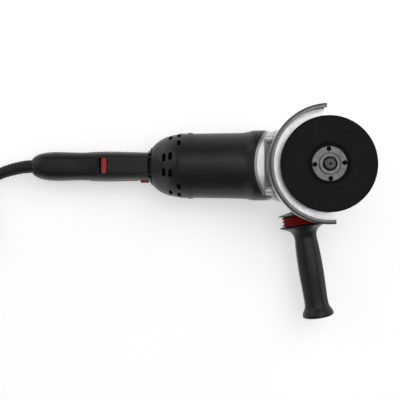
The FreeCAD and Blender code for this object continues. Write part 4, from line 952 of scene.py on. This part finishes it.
# %% Red damper
BOLT_R, DAMPER_R, RIB_DEPTH, RIB_PITCH = 0.0045, 0.0256, 0.0024, 0.0041
s = np.linspace(0.0093, 0.0216, 64)
valley = 0.5 + 0.5 * np.cos(2 * math.pi * (s - s[0]) / RIB_PITCH)
ribs = list(zip(s, DAMPER_R - RIB_DEPTH * valley**1.5))
damper = [(0.0091, BOLT_R), (0.0091, 0.0238), *ribs, (0.0217, 0.0238), (0.0217, BOLT_R)]
rows = turned_rows(damper, SIDE_AT, SIDE_DIR, around=96)
add_piece(
    "side_damper",
    grid_mesh("side_damper", rows, closed=True),
    "tool_body",
    "red_rubber",
    ["side_handle_damper"],
)

# %% [markdown]
# ## The spindle lock's spring
#
# A small coil spring pushes the lock button out. When the button goes in, the spring gets
# shorter, squashed towards its fixed end; here it is built at one length. It is a helix: a circle
# whose height rises evenly with the angle, with a thin round wire carried along it.

# %% Lock spring
LOCK_X, SPRING_R, WIRE_R = 0.0125, 0.0033, 0.00032
SPRING_FOOT, SPRING_TOP, COILS = 0.0065, 0.0136, 4.5
turn = np.linspace(0, COILS * 2 * math.pi, 160)[:, None]
round_wire = np.linspace(0, 2 * math.pi, 10, endpoint=False)[None, :]
out = SPRING_R + WIRE_R * np.cos(round_wire)
rise = SPRING_FOOT + (SPRING_TOP - SPRING_FOOT) * turn / turn.max()
spring_rows = np.stack(
    [LOCK_X + out * np.cos(turn), out * np.sin(turn), rise + WIRE_R * np.sin(round_wire)], -1
)
lock_spring = add_piece(
    "lock_spring",
    grid_mesh("lock_spring", spring_rows[:, ::-1], poles=(True, True)),
    "tool_body",
    "bright_steel",
    ["spindle_lock_spring"],
)
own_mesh(lock_spring)

# %% [markdown]
# ## The flare where the handle meets the cover
#
# The rear cover doesn't stop square: a short skirt runs back from it and dies into the
# handle. It wraps the sides and the underside, and is open at the top for the trigger. Each
# outline is a superellipse, and its width falls along the skirt as a power of the distance.

# %% Skirt
SKIRT_FRONT, SKIRT_BACK = -0.2131, -0.2177
t = np.linspace(0, 1, 12)[:, None]
a = np.radians(np.linspace(125, 415, 72))[None, :]
grow = (1 - t) ** 1.8
power = 2.8 - 0.3 * grow
half = 0.0181 + 0.0053 * grow
top_z, low_z = 0.0501 + 0.0033 * grow, 0.0026 - 0.0001 * grow
middle, tall = (top_z + low_z) / 2, (top_z - low_z) / 2
r = ((np.abs(np.cos(a)) / half) ** power + (np.abs(np.sin(a)) / tall) ** power) ** (-1 / power)
x = np.broadcast_to(SKIRT_FRONT + (SKIRT_BACK - SKIRT_FRONT) * t, r.shape)
skirt_rows = np.stack([x, r * np.cos(a), middle + r * np.sin(a)], -1)
cover_skirt = add_piece(
    "cover_skirt",
    grid_mesh("cover_skirt", skirt_rows, wrap=False),
    "tool_body",
    "dark_plastic",
)
thicken(cover_skirt, 0.0010, offset=-1.0)
